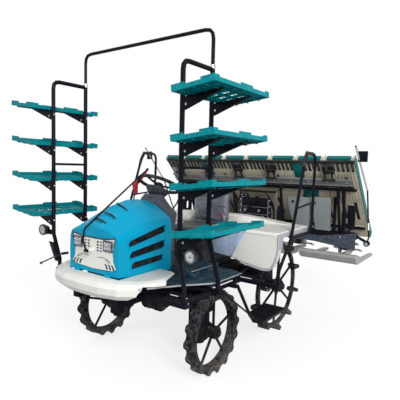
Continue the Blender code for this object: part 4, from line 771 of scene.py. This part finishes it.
def pad(name, low, high, lean, cloth_finish):
    """A foam pad, blown up by cloth pressure and held to a small swell."""
    ob = rounded_object(name, low, high, lean, 0.024, 4)
    ob.data.remesh_voxel_size = VOXEL
    bpy.context.view_layer.objects.active = ob
    bpy.ops.object.voxel_remesh()
    ob.data.shade_smooth()
    start = [v.co.copy() for v in ob.data.vertices]
    cloth = ob.modifiers.new("cloth", "CLOTH")
    cloth.settings.use_pressure = True
    cloth.settings.uniform_pressure_force = PRESSURE
    cloth.settings.effector_weights.gravity = 0.0
    for step in range(1, FRAMES + 1):
        scene.frame_set(step)
    blown = ob.evaluated_get(bpy.context.evaluated_depsgraph_get()).to_mesh()
    ends = [v.co.copy() for v in blown.vertices]
    ob.modifiers.clear()
    for v, a, b in zip(ob.data.vertices, start, ends):
        move = b - a
        v.co = a + move * min(1.0, SWELL / max(move.length, 1e-6))
    scene.frame_set(1)
    sub = ob.modifiers.new("sub", "SUBSURF")
    sub.levels = sub.render_levels = 1
    bpy.ops.object.modifier_apply(modifier="sub")
    ob.data.materials.append(cloth_finish)
    return ob


cushion = pad("seat_cushion", Vector((seat_low.x + 0.010, seat_low.y + 0.010, PAD_LOW_Z)),
              Vector((seat_high.x - 0.010, PAD_REAR_Y, PAD_TOP_Z)), 0.0, seat_vinyl)
pad("seat_back", Vector((-BACK_HALF, BACK_FRONT_Y, BACK_LOW_Z)),
    Vector((BACK_HALF, BACK_REAR_Y, seat_high.z - 0.010)), BACK_LEAN, seat_film_painted_sheen)
pan = rounded_object("seat_pan_shell", Vector((-0.212, -0.512, seat_low.z)), Vector((0.212, -0.045, 1.003)),
                     0.0, 0.010, 3)
pan.data.shade_smooth()
pan.data.materials.append(casting)
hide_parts("seat")

# Rear cover. The cream deck behind the seat, with a wall down to the floor on
# each side: a light grey strip round the wall's lower lip and outer corners,
# which is painted shade of the side face and lip, parting lines of the
# moulding, and a scrap of blue-grey film on each wall beside the seat.
COVER_Y, DECK_Z = -0.4995, 1.0995
SHADED_LIP = [(0.600, 0.8115), (0.812, 0.7780), (0.886, 0.7850), (0.926, 0.868), (0.9478, 0.960), (0.9478, 1.088)]
FILM = [(0.286, 1.078), (0.640, 1.078), (0.515, 0.846), (0.290, 0.868)]
# Light grey that paints the shade on the cover's side faces and lower lip.
side_shade_grey = finish_of("side_shade_grey", (0.40, 0.40, 0.43), 0.50, drift=(8.0, 0.2), dust=(0.1, 0.1, 0.9))
seam_grey = finish_of("seam_grey", (0.30, 0.29, 0.27), 0.6)
film_blue = finish_of("film_blue", (0.36, 0.44, 0.60), 0.30, drift=(7.0, 0.9), dust=(0.0, 0.0, 0.9),
                      relief=(24.0, 0.006, 0.7))
edges, seams, films = bmesh.new(), bmesh.new(), bmesh.new()
for sx in (1, -1):
    # Strips of painted shade along the lower lip, up the outer corner and along the side face.
    pipe(edges, [(sx * x, -0.497, z) for x, z in SHADED_LIP], 0.0075, 0.03, 8)
    block(edges, (sx * 0.944, -0.494, 0.962), (sx * 0.9492, -0.405, 1.086), 0.002)
    block(edges, (sx * 0.946, -0.480, 1.052), (sx * 0.9515, 0.140, 1.090), 0.002)
    wall = [(0.285, 1.070), (0.900, 1.070), (0.938, 1.030)]
    deck = [(0.300, -0.470), (0.925, -0.470), (0.925, 0.130), (0.300, 0.130)]
    pipe(seams, [(sx * x, COVER_Y, z) for x, z in wall], 0.0016, 0.01, 6)
    pipe(seams, [(sx * x, y, DECK_Z) for x, y in deck], 0.0016, 0.02, 6)
    slab(films, [(sx * x, z) for x, z in FILM], "y", -0.5022, -0.4985, 0.001)
put("cover_side_shade", edges, side_shade_grey, "chassis")
put("cover_seams", seams, seam_grey, "chassis")
put("cover_film", films, film_blue, "chassis")

# Planting lever. A brown plastic knob on a steel stick that moves in the slot of
# a teal gate, screwed to the deck left of the seat.
tray_teal = finish_of("tray_teal", (0.0, 0.200, 0.232), 0.44, spec=0.06, dust=(0.02, 0.0, 0.5),
                      bare=((0.03, 0.33, 0.40, 1), 0.4, 25.0), relief=(300.0, 0.0002, 0.3))
lever_brown = finish_of("lever_brown", (0.16, 0.030, 0.022), 0.42, relief=(400.0, 0.0002, 0.3))
gate, stick, knob = bmesh.new(), bmesh.new(), bmesh.new()
block(gate, (0.262, -0.400, 1.090), (0.330, -0.230, 1.112), 0.006)
block(stick, (0.290, -0.385, 1.111), (0.302, -0.245, 1.1145), 0.001)
pipe(stick, [(0.296, -0.330, 1.080), (0.296, -0.345, 1.165)], 0.005)
lathe(knob, [(0.008, 0.0), (0.013, 0.010), (0.015, 0.028), (0.012, 0.042), (0.0, 0.048)], (0.296, -0.343, 1.158),
      (0, -0.17, 0.98), 16)
put("lever_gate", gate, tray_teal, "chassis")
put("lever_stick", stick, black_plastic, "chassis")
put("lever_knob", knob, lever_brown, "chassis")

# Handrails. Black tube loops welded to the frame, with a rubber grip on each
# upper bar and a bolted flange at the foot.
RAIL_X = 0.978
GRIP = [(-0.115, 1.632), (-0.095, 1.690), (-0.0545, 1.754), (-0.050, 1.760), (0.070, 1.760)]
grips, feet = bmesh.new(), bmesh.new()
for sx in (1, -1):
    x = sx * RAIL_X
    pipe(grips, [(x, y, z) for y, z in GRIP], 0.0168, 0.02, 12)
    block(feet, (x - 0.026, -0.575, 0.6905), (x + 0.026, -0.505, 0.6965), 0.002)
    bolts(feet, [(x, -0.566, 0.6965)], (0, 0, 1), 0.006)
put("handrail_grips", grips, rubber, "chassis")
put("handrail_feet", feet, powder, "chassis")

# Racks. Two welded tube frames beside the bonnet, with bolts through the shelf
# brackets and a clamp collar for the hoop. A round work lamp with small clear
# lenses over a reflector hangs at each front post.
POST_X, POST_FRONT_Y, POST_REAR_Y, COLLAR_Z = 0.686, -1.444, -1.115, 2.312
SHELF_Z = (1.104, 1.397, 1.695, 1.991)
LAMP_RING = [(0.0465, 0.004), (0.0480, 0.022), (0.0450, 0.027), (0.0400, 0.0245), (0.0400, 0.020)]
LENS_ROWS = ((0.0, 1), (0.013, 6), (0.026, 12), (0.036, 16))          # radius, count
hard, rings, glass, bowl = (bmesh.new() for _ in range(4))
for sx in (1, -1):
    for y in (POST_FRONT_Y, POST_REAR_Y):
        for z in SHELF_Z:
            bolts(hard, [(sx * (POST_X + 0.040), y - 0.0145, z + 0.020)], (0, -1, 0), 0.005)
            bolts(hard, [(sx * (POST_X - 0.0165), y, z + 0.030)], (-sx, 0, 0), 0.005)
    lathe(hard, [(0.019, -0.016), (0.0195, 0.016)], (sx * POST_X, POST_REAR_Y, COLLAR_Z), (0, 0, 1), 18)
    bolts(hard, [(sx * (POST_X - 0.0185), POST_REAR_Y, COLLAR_Z)], (-sx, 0, 0), 0.0045)
    lamp = Vector((sx * (POST_X + 0.114), -1.456, 1.044))
    lathe(rings, LAMP_RING, lamp, (0, -1, 0), 32)
    lathe(bowl, [(0.0, 0.0185), (0.040, 0.0240), (0.040, 0.0190)], lamp, (0, -1, 0), 32)
    for r, count in LENS_ROWS:
        for at in circle(lamp - Vector((0, 0.0235, 0)), r, turns(count), "xz"):
            lathe(glass, [(0.0065, 0.0), (0.0055, 0.0025), (0.0, 0.0038)], at, (0, -1, 0), 10)
    lathe(hard, [(0.014, -0.010), (0.014, 0.010)], lamp + Vector((0, 0.018, -0.030)), (1, 0, 0), 12)
put("rack_bolts", hard, zinc, "chassis")
put("work_lamp_rings", rings, black_plastic, "chassis")
put("work_lamp_bowls", bowl, mirror, "chassis")
put("work_lamp_glass", glass, lamp_glass, "chassis")

# Right front post. A flat guard plate near its foot and a thin feeler rod with a
# ball that reaches outward, both of black steel.
GUARD = [(-1.470, 0.955), (-1.420, 0.940), (-1.365, 0.800), (-1.372, 0.762), (-1.410, 0.775)]
bm = bmesh.new()
slab(bm, GUARD, "x", -0.722, -0.706, 0.003)
pipe(bm, [(-0.560, -1.450, 0.868), (-0.640, -1.450, 0.836), (-0.860, -1.450, 0.741)], 0.006, 0.02)
lathe(bm, [(0.0, -0.012), (0.010, -0.006), (0.012, 0.0), (0.010, 0.006), (0.0, 0.012)], (-0.866, -1.450, 0.738),
      (-0.92, 0, -0.39), 14)
block(bm, (-0.560, -1.462, 0.858), (-0.540, -1.400, 0.878))
put("right_feeler", bm, black_plastic, "chassis")

# Shelves. Teal moulded trays for the seedling mats, tilted outward: a lattice of
# ribs below, low bars across the floor, struts in the openings and a rolled lip
# on the raised ends.
TILT = math.radians(6.9)
LONG, SHORT, CELL = 0.331, 0.160, 0.094                     # the tray's middle, and its openings' pitch
LIPS = ((0.0, 0.10, -0.002, 0.007), (0.22, 0.32, -0.002, 0.007), (0.0, 0.10, 0.655, 0.664),
        (0.22, 0.32, 0.655, 0.664), (0.313, 0.322, 0.291, 0.437), (-0.002, 0.007, 0.291, 0.437))
dress(tray_teal, *[n for n in nodes if n.startswith("shelf_")])
bm = bmesh.new()
for sx in (1, -1):
    for shelf_z in SHELF_Z:
        tray = Matrix.Translation((0.727, -1.606, shelf_z + 0.071)) @ Matrix.Rotation(-TILT, 4, "Y")
        if sx < 0:
            tray = Matrix.Scale(-1, 4, (1, 0, 0)) @ tray
        for x in (SHORT - 0.088, SHORT, SHORT + 0.088):
            for y0, y1 in ((0.010, 0.140), (0.180, 0.475), (0.515, 0.652)):
                block(bm, (x - 0.0025, y0, -0.010), (x + 0.0025, y1, 0.001), 0.001, tray)
        for y in (0.050, LONG - CELL, LONG, LONG + CELL, 0.612):
            block(bm, (0.012, y - 0.0025, -0.008), (0.308, y + 0.0025, 0.001), 0.001, tray)
        for j in range(5):
            y = LONG + (j - 2) * CELL
            block(bm, (0.070, y - 0.0035, 0.0045), (0.250, y + 0.0035, 0.0075), 0.001, tray)
        for i in range(2):
            for j in range(4):
                x, y = SHORT + (i - 0.5) * 0.088, LONG + (j - 1.5) * CELL
                block(bm, (x - 0.032, y - 0.002, 0.0010), (x + 0.032, y + 0.002, 0.0045), 0.0, tray)
                block(bm, (x - 0.002, y - 0.036, 0.0012), (x + 0.002, y + 0.036, 0.0043), 0.0, tray)
        for x0, x1, y0, y1 in LIPS:
            block(bm, (x0, y0, 0.0345), (x1, y1, 0.0415), 0.0025, tray)
put("shelf_ribs", bm, tray_teal, "chassis")

# Lift. Black steel links, a pair below and one above, raise the planting unit:
# zinc pins at the lower links' ends, and two steel oil lines with unions up the
# frame's rear mast.
LINK_ENDS = ((0.360, 0.620), (0.800, 0.920))                # y, z of the lower links' pins
LINE_Y = 0.340
hard, lines = bmesh.new(), bmesh.new()
for sx in (1, -1):
    for y, z in LINK_ENDS:
        lathe(hard, [(0.017, 0.0), (0.017, 0.004), (0.010, 0.007), (0.0, 0.007)], (sx * 0.141, y, z), (-sx, 0, 0), 18)
for x in (-0.06, 0.06):
    route = [(x, 0.690), (x, 0.840), (x * 1.6, 0.900), (x * 1.6, 0.960)]
    pipe(lines, [(a, LINE_Y, z) for a, z in route], 0.006, 0.03, 8)
    lathe(lines, [(0.010, -0.008), (0.010, 0.008)], (x, LINE_Y, 0.700), (0, 0, 1), 6)
put("link_pins", hard, zinc, "lower_arms")
put("lift_lines", lines, zinc, "chassis")

# Hitch plate. Pressed steel with a flange along each edge and three cross ribs in
# grey paint; bolts run down both sides, and three bosses stand on its face.
PLATE_Y, PLATE_X = 0.836, 0.180
(_, _, plate_low), (_, _, plate_high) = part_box("hitch")
channel_grey = finish_of("channel_grey", (0.17, 0.17, 0.18), 0.45, drift=(12.0, 0.2), dust=(0.2, 0.0, 0.5))
ribs, hard = bmesh.new(), bmesh.new()
for sx in (1, -1):
    block(ribs, (sx * (PLATE_X - 0.004), PLATE_Y - 0.009, plate_low + 0.012),
          (sx * (PLATE_X + 0.004), PLATE_Y + 0.001, plate_high - 0.012), 0.001)
    for k in range(6):
        z = plate_low + 0.03 + (plate_high - plate_low - 0.06) * k / 5
        bolts(hard, [(sx * (PLATE_X + 0.014), PLATE_Y, z)], (0, -1, 0), 0.006)
for z in (0.985, 1.070, 1.155):
    block(ribs, (-0.172, PLATE_Y - 0.007, z), (0.172, PLATE_Y + 0.001, z + 0.006), 0.001)
for x, z, r in ((-0.125, 1.112, 0.026), (0.110, 1.030, 0.030), (0.060, 1.115, 0.018)):
    boss = [(r, 0.0), (r, 0.006), (r * 0.7, 0.009), (r * 0.6, 0.004), (0.0, 0.004)]
    lathe(ribs, boss, (x, PLATE_Y, z), (0, -1, 0), 20)
    bolts(hard, [(x, PLATE_Y - 0.004, z)], (0, -1, 0))
put("hitch_ribs", ribs, channel_grey, "hitch_plate")
put("hitch_bolts", hard, zinc, "hitch_plate")

# Planting unit. Black chain cases with bolted lids stand on a cross beam, driven
# by one shaft through three couplings; guard plates and stays of black tube and
# sheet stand at its ends, and a slate board levels the mud ahead of the floats.
CASES = (-0.90, -0.30, 0.30, 0.90)
CASE_HALF, SHAFT_Y, SHAFT_Z = 0.0295, 1.120, 0.905
LID = [(1.060, 0.935), (1.380, 0.812), (1.500, 0.752), (1.548, 0.735), (1.548, 0.680), (1.490, 0.676), (1.060, 0.895)]
LID_BOLTS = ((1.090, 0.914), (1.220, 0.862), (1.350, 0.808), (1.450, 0.760))
GUARD = [(1.070, 1.255), (1.158, 1.250), (1.158, 1.000), (1.086, 1.010)]
dress(finish_of("board_slate", (0.030, 0.046, 0.078), 0.5, spec=0.2, dust=(0.06, 0.0, 0.5)), "levelling_board")
lids, hard, plates = bmesh.new(), bmesh.new(), bmesh.new()
for x in CASES:
    for sx in (1, -1):
        near, far = x + sx * CASE_HALF, x + sx * (CASE_HALF + 0.005)
        slab(lids, LID, "x", min(near, far), max(near, far), 0.0015)
        bolts(hard, [(far, y, z) for y, z in LID_BOLTS], (sx, 0, 0), 0.005)
pipe(lids, [(-0.90, SHAFT_Y, SHAFT_Z), (0.90, SHAFT_Y, SHAFT_Z)], 0.013, steps=12)
for x in (-0.60, 0.0, 0.60):
    coupling = [(0.020, -0.045), (0.024, -0.040), (0.024, 0.040), (0.020, 0.045)]
    lathe(lids, coupling, (x, SHAFT_Y, SHAFT_Z), (1, 0, 0), 16)
for sx in (1, -1):
    block(plates, (sx * 1.014, 0.905, 0.955), (sx * 1.056, 0.935, 1.170))
    pipe(plates, [(sx * 1.035, 0.920, 1.165), (sx * 1.035, 0.865, 1.410)], 0.019, steps=12)
    slab(plates, [(sx * x, z) for x, z in GUARD], "y", 0.900, 0.906, 0.001)
    block(plates, (sx * 1.050, 0.898, 1.030), (sx * 1.100, 0.912, 1.060), 0.002)
    block(plates, (sx * 0.915, 0.925, 0.955), (sx * 0.945, 0.950, 1.330))
    bolts(hard, [(sx * 0.62, 0.9335, 0.875), (sx * 1.00, 0.9335, 0.900)], (0, -1, 0))
put("case_lids", lids, casting, "planting_unit")
put("planting_bolts", hard, zinc, "planting_unit")
put("guard_plates", plates, powder, "planting_unit")

# Feed drive. It works the stage from the middle of the planting unit: black cast
# housings with zinc lids and bolts, a chain round the largest one, bent rods, two
# coil springs on their rods and a plate at either side.
HOUSINGS = ((-0.165, 1.245, 0.062), (0.075, 1.190, 0.048), (-0.040, 1.085, 0.055))      # x, z, radius
CHAIN_LINKS, CHAIN_R, LINK_HALF = 22, 0.074, Vector((0.004, 0.004, 0.004))
RODS = (([(-0.290, 0.900, 0.960), (-0.270, 0.880, 1.180), (-0.215, 0.880, 1.330)], 0.010),
        ([(0.235, 0.905, 0.960), (0.225, 0.880, 1.200), (0.120, 0.870, 1.335)], 0.008),
        ([(-0.250, 0.880, 1.345), (0.250, 0.880, 1.345)], 0.013),
        ([(-0.235, 0.870, 1.060), (-0.120, 0.868, 1.160), (0.060, 0.868, 1.300)], 0.007))


def spring(bm, foot, way, pitch, coils, inner, outer, half):
    """Add a coil spring as a row of rings from a foot along a way."""
    for k in range(coils):
        lathe(bm, [(inner, -half), (outer, 0.0), (inner, half)], foot + way * pitch * k, way, 12)


drive, hard = bmesh.new(), bmesh.new()
for x, z, r in HOUSINGS:
    case = [(r, 0.0), (r, 0.030), (r * 0.8, 0.042), (r * 0.35, 0.045), (r * 0.3, 0.060), (0.0, 0.060)]
    lathe(drive, case, (x, 0.905, z), (0, -1, 0), 24)
    bolts(hard, circle((x, 0.868, z), r * 0.85, turns(6), "xz"), (0, -1, 0), 0.005)
    lathe(hard, [(0.030, 0.0), (0.030, 0.004), (0.018, 0.006), (0.0, 0.006)], (x, 0.846, z), (0, -1, 0), 20)
for p in circle((HOUSINGS[0][0], 0.880, HOUSINGS[0][1]), CHAIN_R, turns(CHAIN_LINKS), "xz"):
    block(drive, p - LINK_HALF, p + LINK_HALF, 0.0)
for way, r in RODS:
    pipe(drive, way, r, 0.03, 8)
for x in (-0.245, 0.255):
    spring(hard, Vector((x, 0.890, 1.020)), Vector((0, 0, 1)), 0.0085, 16, 0.0125, 0.0145, 0.002)
    pipe(hard, [(x, 0.890, 0.935), (x, 0.884, 1.345)], 0.005, steps=8)
for plate in ([(-0.330, 1.000), (-0.255, 0.985), (-0.240, 1.120), (-0.300, 1.180), (-0.345, 1.120)],
              [(0.255, 0.990), (0.330, 1.000), (0.325, 1.210), (0.270, 1.180)]):
    slab(drive, plate, "y", 0.900, 0.908, 0.001)
put("feed_drive", drive, casting, "planting_unit")
put("feed_springs", hard, zinc, "planting_unit")

# Stage covers. Light grey sheets with pressed ribs that hang ahead of the drive
# cases, each with a black plug and the end of a black stay.
COVER_FOOT, COVER_LEAN = (0.0, 0.9200, 0.958), math.radians(7.0)
SHEETS = ([(0.485, 0.0), (0.662, 0.0), (0.654, 0.355), (0.402, 0.355), (0.420, 0.200)],
          [(0.731, 0.0), (0.898, 0.0), (0.901, 0.365), (0.677, 0.365)])
cover_grey = finish_of("cover_grey", (0.235, 0.255, 0.265), 0.45, spec=0.3, drift=(4.0, 0.12), dust=(0.12, 0.0, 0.5))
sheets, dark = bmesh.new(), bmesh.new()
hang = Matrix.Translation(COVER_FOOT) @ Matrix.Rotation(COVER_LEAN, 4, "X")
for sx in (1, -1):
    for sheet in SHEETS:
        slab(sheets, [(sx * u, v) for u, v in sheet], "y", -0.002, 0.002, 0.001, hang)
        left, wide = max(sheet[0][0], sheet[-1][0]) + 0.012, 0.90 * (sheet[1][0] - sheet[0][0])
        for k in range(6):
            u = left + wide * k / 5
            block(sheets, (sx * (u - 0.0045), -0.0065, 0.012), (sx * (u + 0.0045), -0.0015, 0.340), 0.0015, hang)
        plug = hang @ Vector((sx * (sheet[-1][0] + 0.045), -0.004, 0.300))
        lathe(dark, [(0.016, -0.004), (0.016, 0.006), (0.0, 0.008)], plug, (0, -1, 0), 18)
        u = sx * (sheet[1][0] - 0.010)
        pipe(dark, [(u, 0.006, 0.350), (u, 0.012, 0.470)], 0.006, steps=8, place=hang)
put("stage_covers", sheets, cover_grey, "planting_unit")
put("stage_cover_plugs", dark, black_plastic, "planting_unit")

# Seedling stage. A beige moulding of eight lanes that slides from side to side.
# Each lane has a teal cap, guide ribs, two rubber feed belts with raised bars and
# wires that hold the mat down; a black comb and teal panels stiffen the under
# face, and a zinc rail catches the seedlings at the lower end.
STAGE_TOP, STAGE_LOW = Vector((0.0, 0.607, 1.742)), Vector((0.0, 1.435, 0.875))
UNDER = -0.022                       # the under face, measured out from the upper one
LANES = [(k - 3.5) * 0.300 for k in range(8)]
PANELS = ([(0.537, 0.052), (0.705, 0.052), (0.606, 0.340), (0.535, 0.340)],
          [(0.583, 0.440), (0.760, 0.440), (0.722, 0.575), (0.546, 0.575)])
stage_teal = finish_of("stage_teal", (0.0, 0.125, 0.130), 0.46, spec=0.15, dust=(0.03, 0.0, 0.5),
                       bare=((0.04, 0.24, 0.25, 1), 0.4, 25.0))
stage_beige = finish_of("stage_beige", (0.66, 0.60, 0.46), 0.5, spec=0.2, drift=(9.0, 0.25), dust=(0.1, 0.0, 0.5))
dress(stage_beige, "seedling_stage")
down = (STAGE_LOW - STAGE_TOP).normalized()
out = Vector((0.0, -down.z, down.y))
on_stage = Matrix(((1, 0, 0, 0), (0, down.y, out.y, STAGE_TOP.y), (0, down.z, out.z, STAGE_TOP.z), (0, 0, 0, 1)))
caps, comb, ribs, panels, belts, wires, rail = (bmesh.new() for _ in range(7))


def bar(bm, x, half, low, high, edge=0.001):
    """Add a bar on the stage: its middle across, half its width, and (down, out) of two corners."""
    block(bm, (x - half, *low), (x + half, *high), edge, on_stage)


for x in LANES:
    bar(caps, x, 0.118, (-0.016, -0.030), (0.012, 0.014), 0.004)
    for k in range(6):
        u = x - 0.120 + 0.048 * k
        for w in (-0.0075, 0.0075):
            bar(comb, u + w, 0.0045, (0.048, UNDER - 0.007), (0.158, UNDER + 0.002))
        bar(comb, u, 0.0120, (0.146, UNDER - 0.007), (0.162, UNDER + 0.002))
    for k in range(9):
        for low, high in ((0.164, 0.375), (0.440, 0.610)):
            bar(ribs, x - 0.128 + 0.032 * k, 0.0035, (low, UNDER - 0.005), (high, UNDER + 0.001))
    for u in (x - 0.066, x + 0.066):
        bar(belts, u, 0.0165, (0.610, -0.020), (0.910, 0.0030), 0.002)
        for k in range(14):
            v = 0.626 + 0.0205 * k
            bar(belts, u, 0.0150, (v - 0.003, 0.0025), (v + 0.003, 0.0085))
    for u in (x - 0.100, x, x + 0.100):
        for low, high in ((0.020, 0.590), (0.930, 1.150)):
            bar(ribs, u, 0.003, (low, -0.001), (high, 0.006), 0.0015)
    for u in (x - 0.085, x + 0.085):
        way = [(u, 0.700, 0.010), (u, 0.730, 0.034), (u, 1.120, 0.034), (u, 1.160, 0.004)]
        pipe(wires, way, 0.0028, 0.012, 6, on_stage)
    pipe(wires, [(x - 0.138, 0.860, 0.0365), (x + 0.138, 0.860, 0.0365)], 0.0034, steps=6, place=on_stage)
    for k in range(5):
        bar(rail, x - 0.10 + 0.05 * k, 0.0015, (1.150, 0.0005), (1.180, 0.020), 0.0)
bar(comb, 0.0, 1.195, (0.020, UNDER - 0.016), (0.050, UNDER + 0.002), 0.003)
bar(rail, 0.0, 1.190, (1.172, 0.0005), (1.196, 0.0085), 0.002)
for sx in (1, -1):
    for sheet in PANELS:
        slab(panels, [(sx * u, v) for u, v in sheet], "z", UNDER - 0.0078, UNDER + 0.002, 0.001, on_stage)
    bar(panels, sx * 1.2015, 0.002, (0.004, -0.026), (1.190, 0.044), 0.0015)
put("stage_caps", caps, stage_teal, "stage")
put("stage_comb", comb, black_plastic, "stage")
put("stage_ribs", ribs, stage_beige, "stage")
put("stage_panels", panels, stage_teal, "stage")
put("stage_belts", belts, rubber, "stage")
put("stage_wires", wires, zinc, "stage")
put("outlet_rail", rail, zinc, "stage")

# Upper rail of the stage. A grey folded steel channel with a row of bolts, the
# feed shaft behind it, and black presser brackets, each a pair of cranked arms
# with a roller.
CHANNEL_HALF = 1.165
ARM = [(0.235, -0.098), (0.170, -0.090), (0.120, -0.062), (0.060, -0.046), (0.060, -0.036), (0.126, -0.050),
       (0.180, -0.076), (0.235, -0.082)]
channel, pressers, hard = bmesh.new(), bmesh.new(), bmesh.new()
bar(channel, 0.0, CHANNEL_HALF, (0.222, -0.080), (0.300, -0.072), 0.003)
for lip in (0.222, 0.294):
    bar(channel, 0.0, CHANNEL_HALF, (lip, -0.098), (lip + 0.006, -0.074), 0.002)
pipe(pressers, [(-CHANNEL_HALF, 0.338, -0.078), (CHANNEL_HALF, 0.338, -0.078)], 0.011, steps=12, place=on_stage)
for x in (-1.10, -0.35, 0.35, 1.10):
    bar(pressers, x, 0.012, (0.200, -0.072), (0.415, -0.064), 0.002)
for x in (-1.00, -0.56, -0.14, 0.28, 0.93):
    for u in (x - 0.046, x + 0.030):
        slab(pressers, ARM, "x", u, u + 0.016, 0.001, on_stage)
    bar(pressers, x, 0.060, (0.120, -0.066), (0.168, -0.054), 0.003)
    lathe(pressers, [(0.019, -0.062), (0.019, 0.062)], on_stage @ Vector((x, 0.066, -0.044)), (1, 0, 0), 14)
    bar(pressers, x, 0.068, (0.205, -0.104), (0.240, -0.092), 0.003)
bolts(hard, [on_stage @ Vector((-1.10 + 0.2 * k, 0.268, -0.080)) for k in range(12)], -out, 0.006)
put("stage_channel", channel, channel_grey, "planting_unit")
put("seedling_pressers", pressers, black_plastic, "planting_unit")
put("channel_bolts", hard, zinc, "planting_unit")

# Planting rotors. Bright steel, turning at the end of each chain case: two arms a
# side carry a bolted lid, a claw of two tines and a coil spring round its root.
ROTOR_Y, ROTOR_Z, CLAW_X = 1.520, 0.710, 0.150
rotor_steel = finish_of("rotor_steel", (0.20, 0.205, 0.215), 0.42, metallic=0.7)
for index, cx in enumerate(CASES, 1):
    dress(rotor_steel, "planting_rotor_%d" % index)
    bm = bmesh.new()
    for sx in (1, -1):
        centre = Vector((cx + sx * 0.0863, ROTOR_Y, ROTOR_Z))
        hub = Vector((cx + sx * CLAW_X, ROTOR_Y, ROTOR_Z))
        for a in (math.radians(128), math.radians(308)):
            lid = circle(centre, 0.040, (a,), "yz")[0]
            lathe(bm, [(0.023, 0.0), (0.022, 0.004), (0.012, 0.005), (0.0, 0.005)], lid, (sx, 0, 0), 18)
            bolts(bm, circle(centre, 0.062, (a + 0.25, a - 0.25), "yz"), (sx, 0, 0), 0.0035)
            tip, root = circle(hub, 0.150, (a + 0.45,), "yz")[0], circle(hub, 0.045, (a,), "yz")[0]
            way = (tip - root).normalized()
            for w in (Vector((-0.006, 0, 0)), Vector((0.006, 0, 0))):
                pipe(bm, [root + way * 0.060 + w, tip + way * 0.001 + w * 1.6], 0.0028, steps=6)
            spring(bm, root + way * 0.014, way, 0.0052, 9, 0.0125, 0.0138, 0.0016)
    put("rotor_trim_%d" % index, bm, zinc, "rotor_%d" % index)

# Floats. Grey blow-moulded skids that carry the unit over the mud, with raised
# ribs along the slope of each nose, clear of the chain cases.
NOSE_RIB = [(1.055, 0.7062), (1.290, 0.6415), (1.290, 0.6365), (1.055, 0.7012)]
float_grey = finish_of("float_grey", (0.40, 0.40, 0.385), 0.42, spec=0.4, dust=(0.2, 0.2, 0.75))
dress(float_grey, "float_centre", "float_left", "float_right")
for name, x0, x1 in (("middle", -0.385, 0.385), ("left", 0.515, 1.160), ("right", -1.160, -0.515)):
    bm = bmesh.new()
    for k in range(6):
        x = x0 + (x1 - x0) * (k + 0.5) / 6
        if min(abs(x - c) for c in CASES) > 0.03:
            slab(bm, NOSE_RIB, "x", x - 0.012, x + 0.012, 0.002)
    put("float_ribs_" + name, bm, float_grey, name + "_float")

# Line markers. A steel arm folded up at each end of the unit, with a sleeve at
# its pivot, a return spring and a bright outer rod.
SLEEVE = [(0.0, -0.004), (0.018, -0.003), (0.020, 0.004), (0.020, 0.009)]
for side, sx in (("left", 1), ("right", -1)):
    bm = bmesh.new()
    lathe(bm, SLEEVE, (sx * 1.265, 0.951, 0.855), (0, 1, 0), 18)
    low, high = Vector((sx * 1.295, 0.935, 0.93)), Vector((sx * 1.315, 0.700, 1.425))
    way = (high - low).normalized()
    spring(bm, low + way * 0.10, way, 0.006, 14, 0.0105, 0.0120, 0.002)
    pipe(bm, [(sx * 1.3148, 0.692, 1.433), (sx * 1.2904, 0.304, 1.836)], 0.0092, steps=10)
    put("marker_trim_" + side, bm, zinc, side + "_marker")
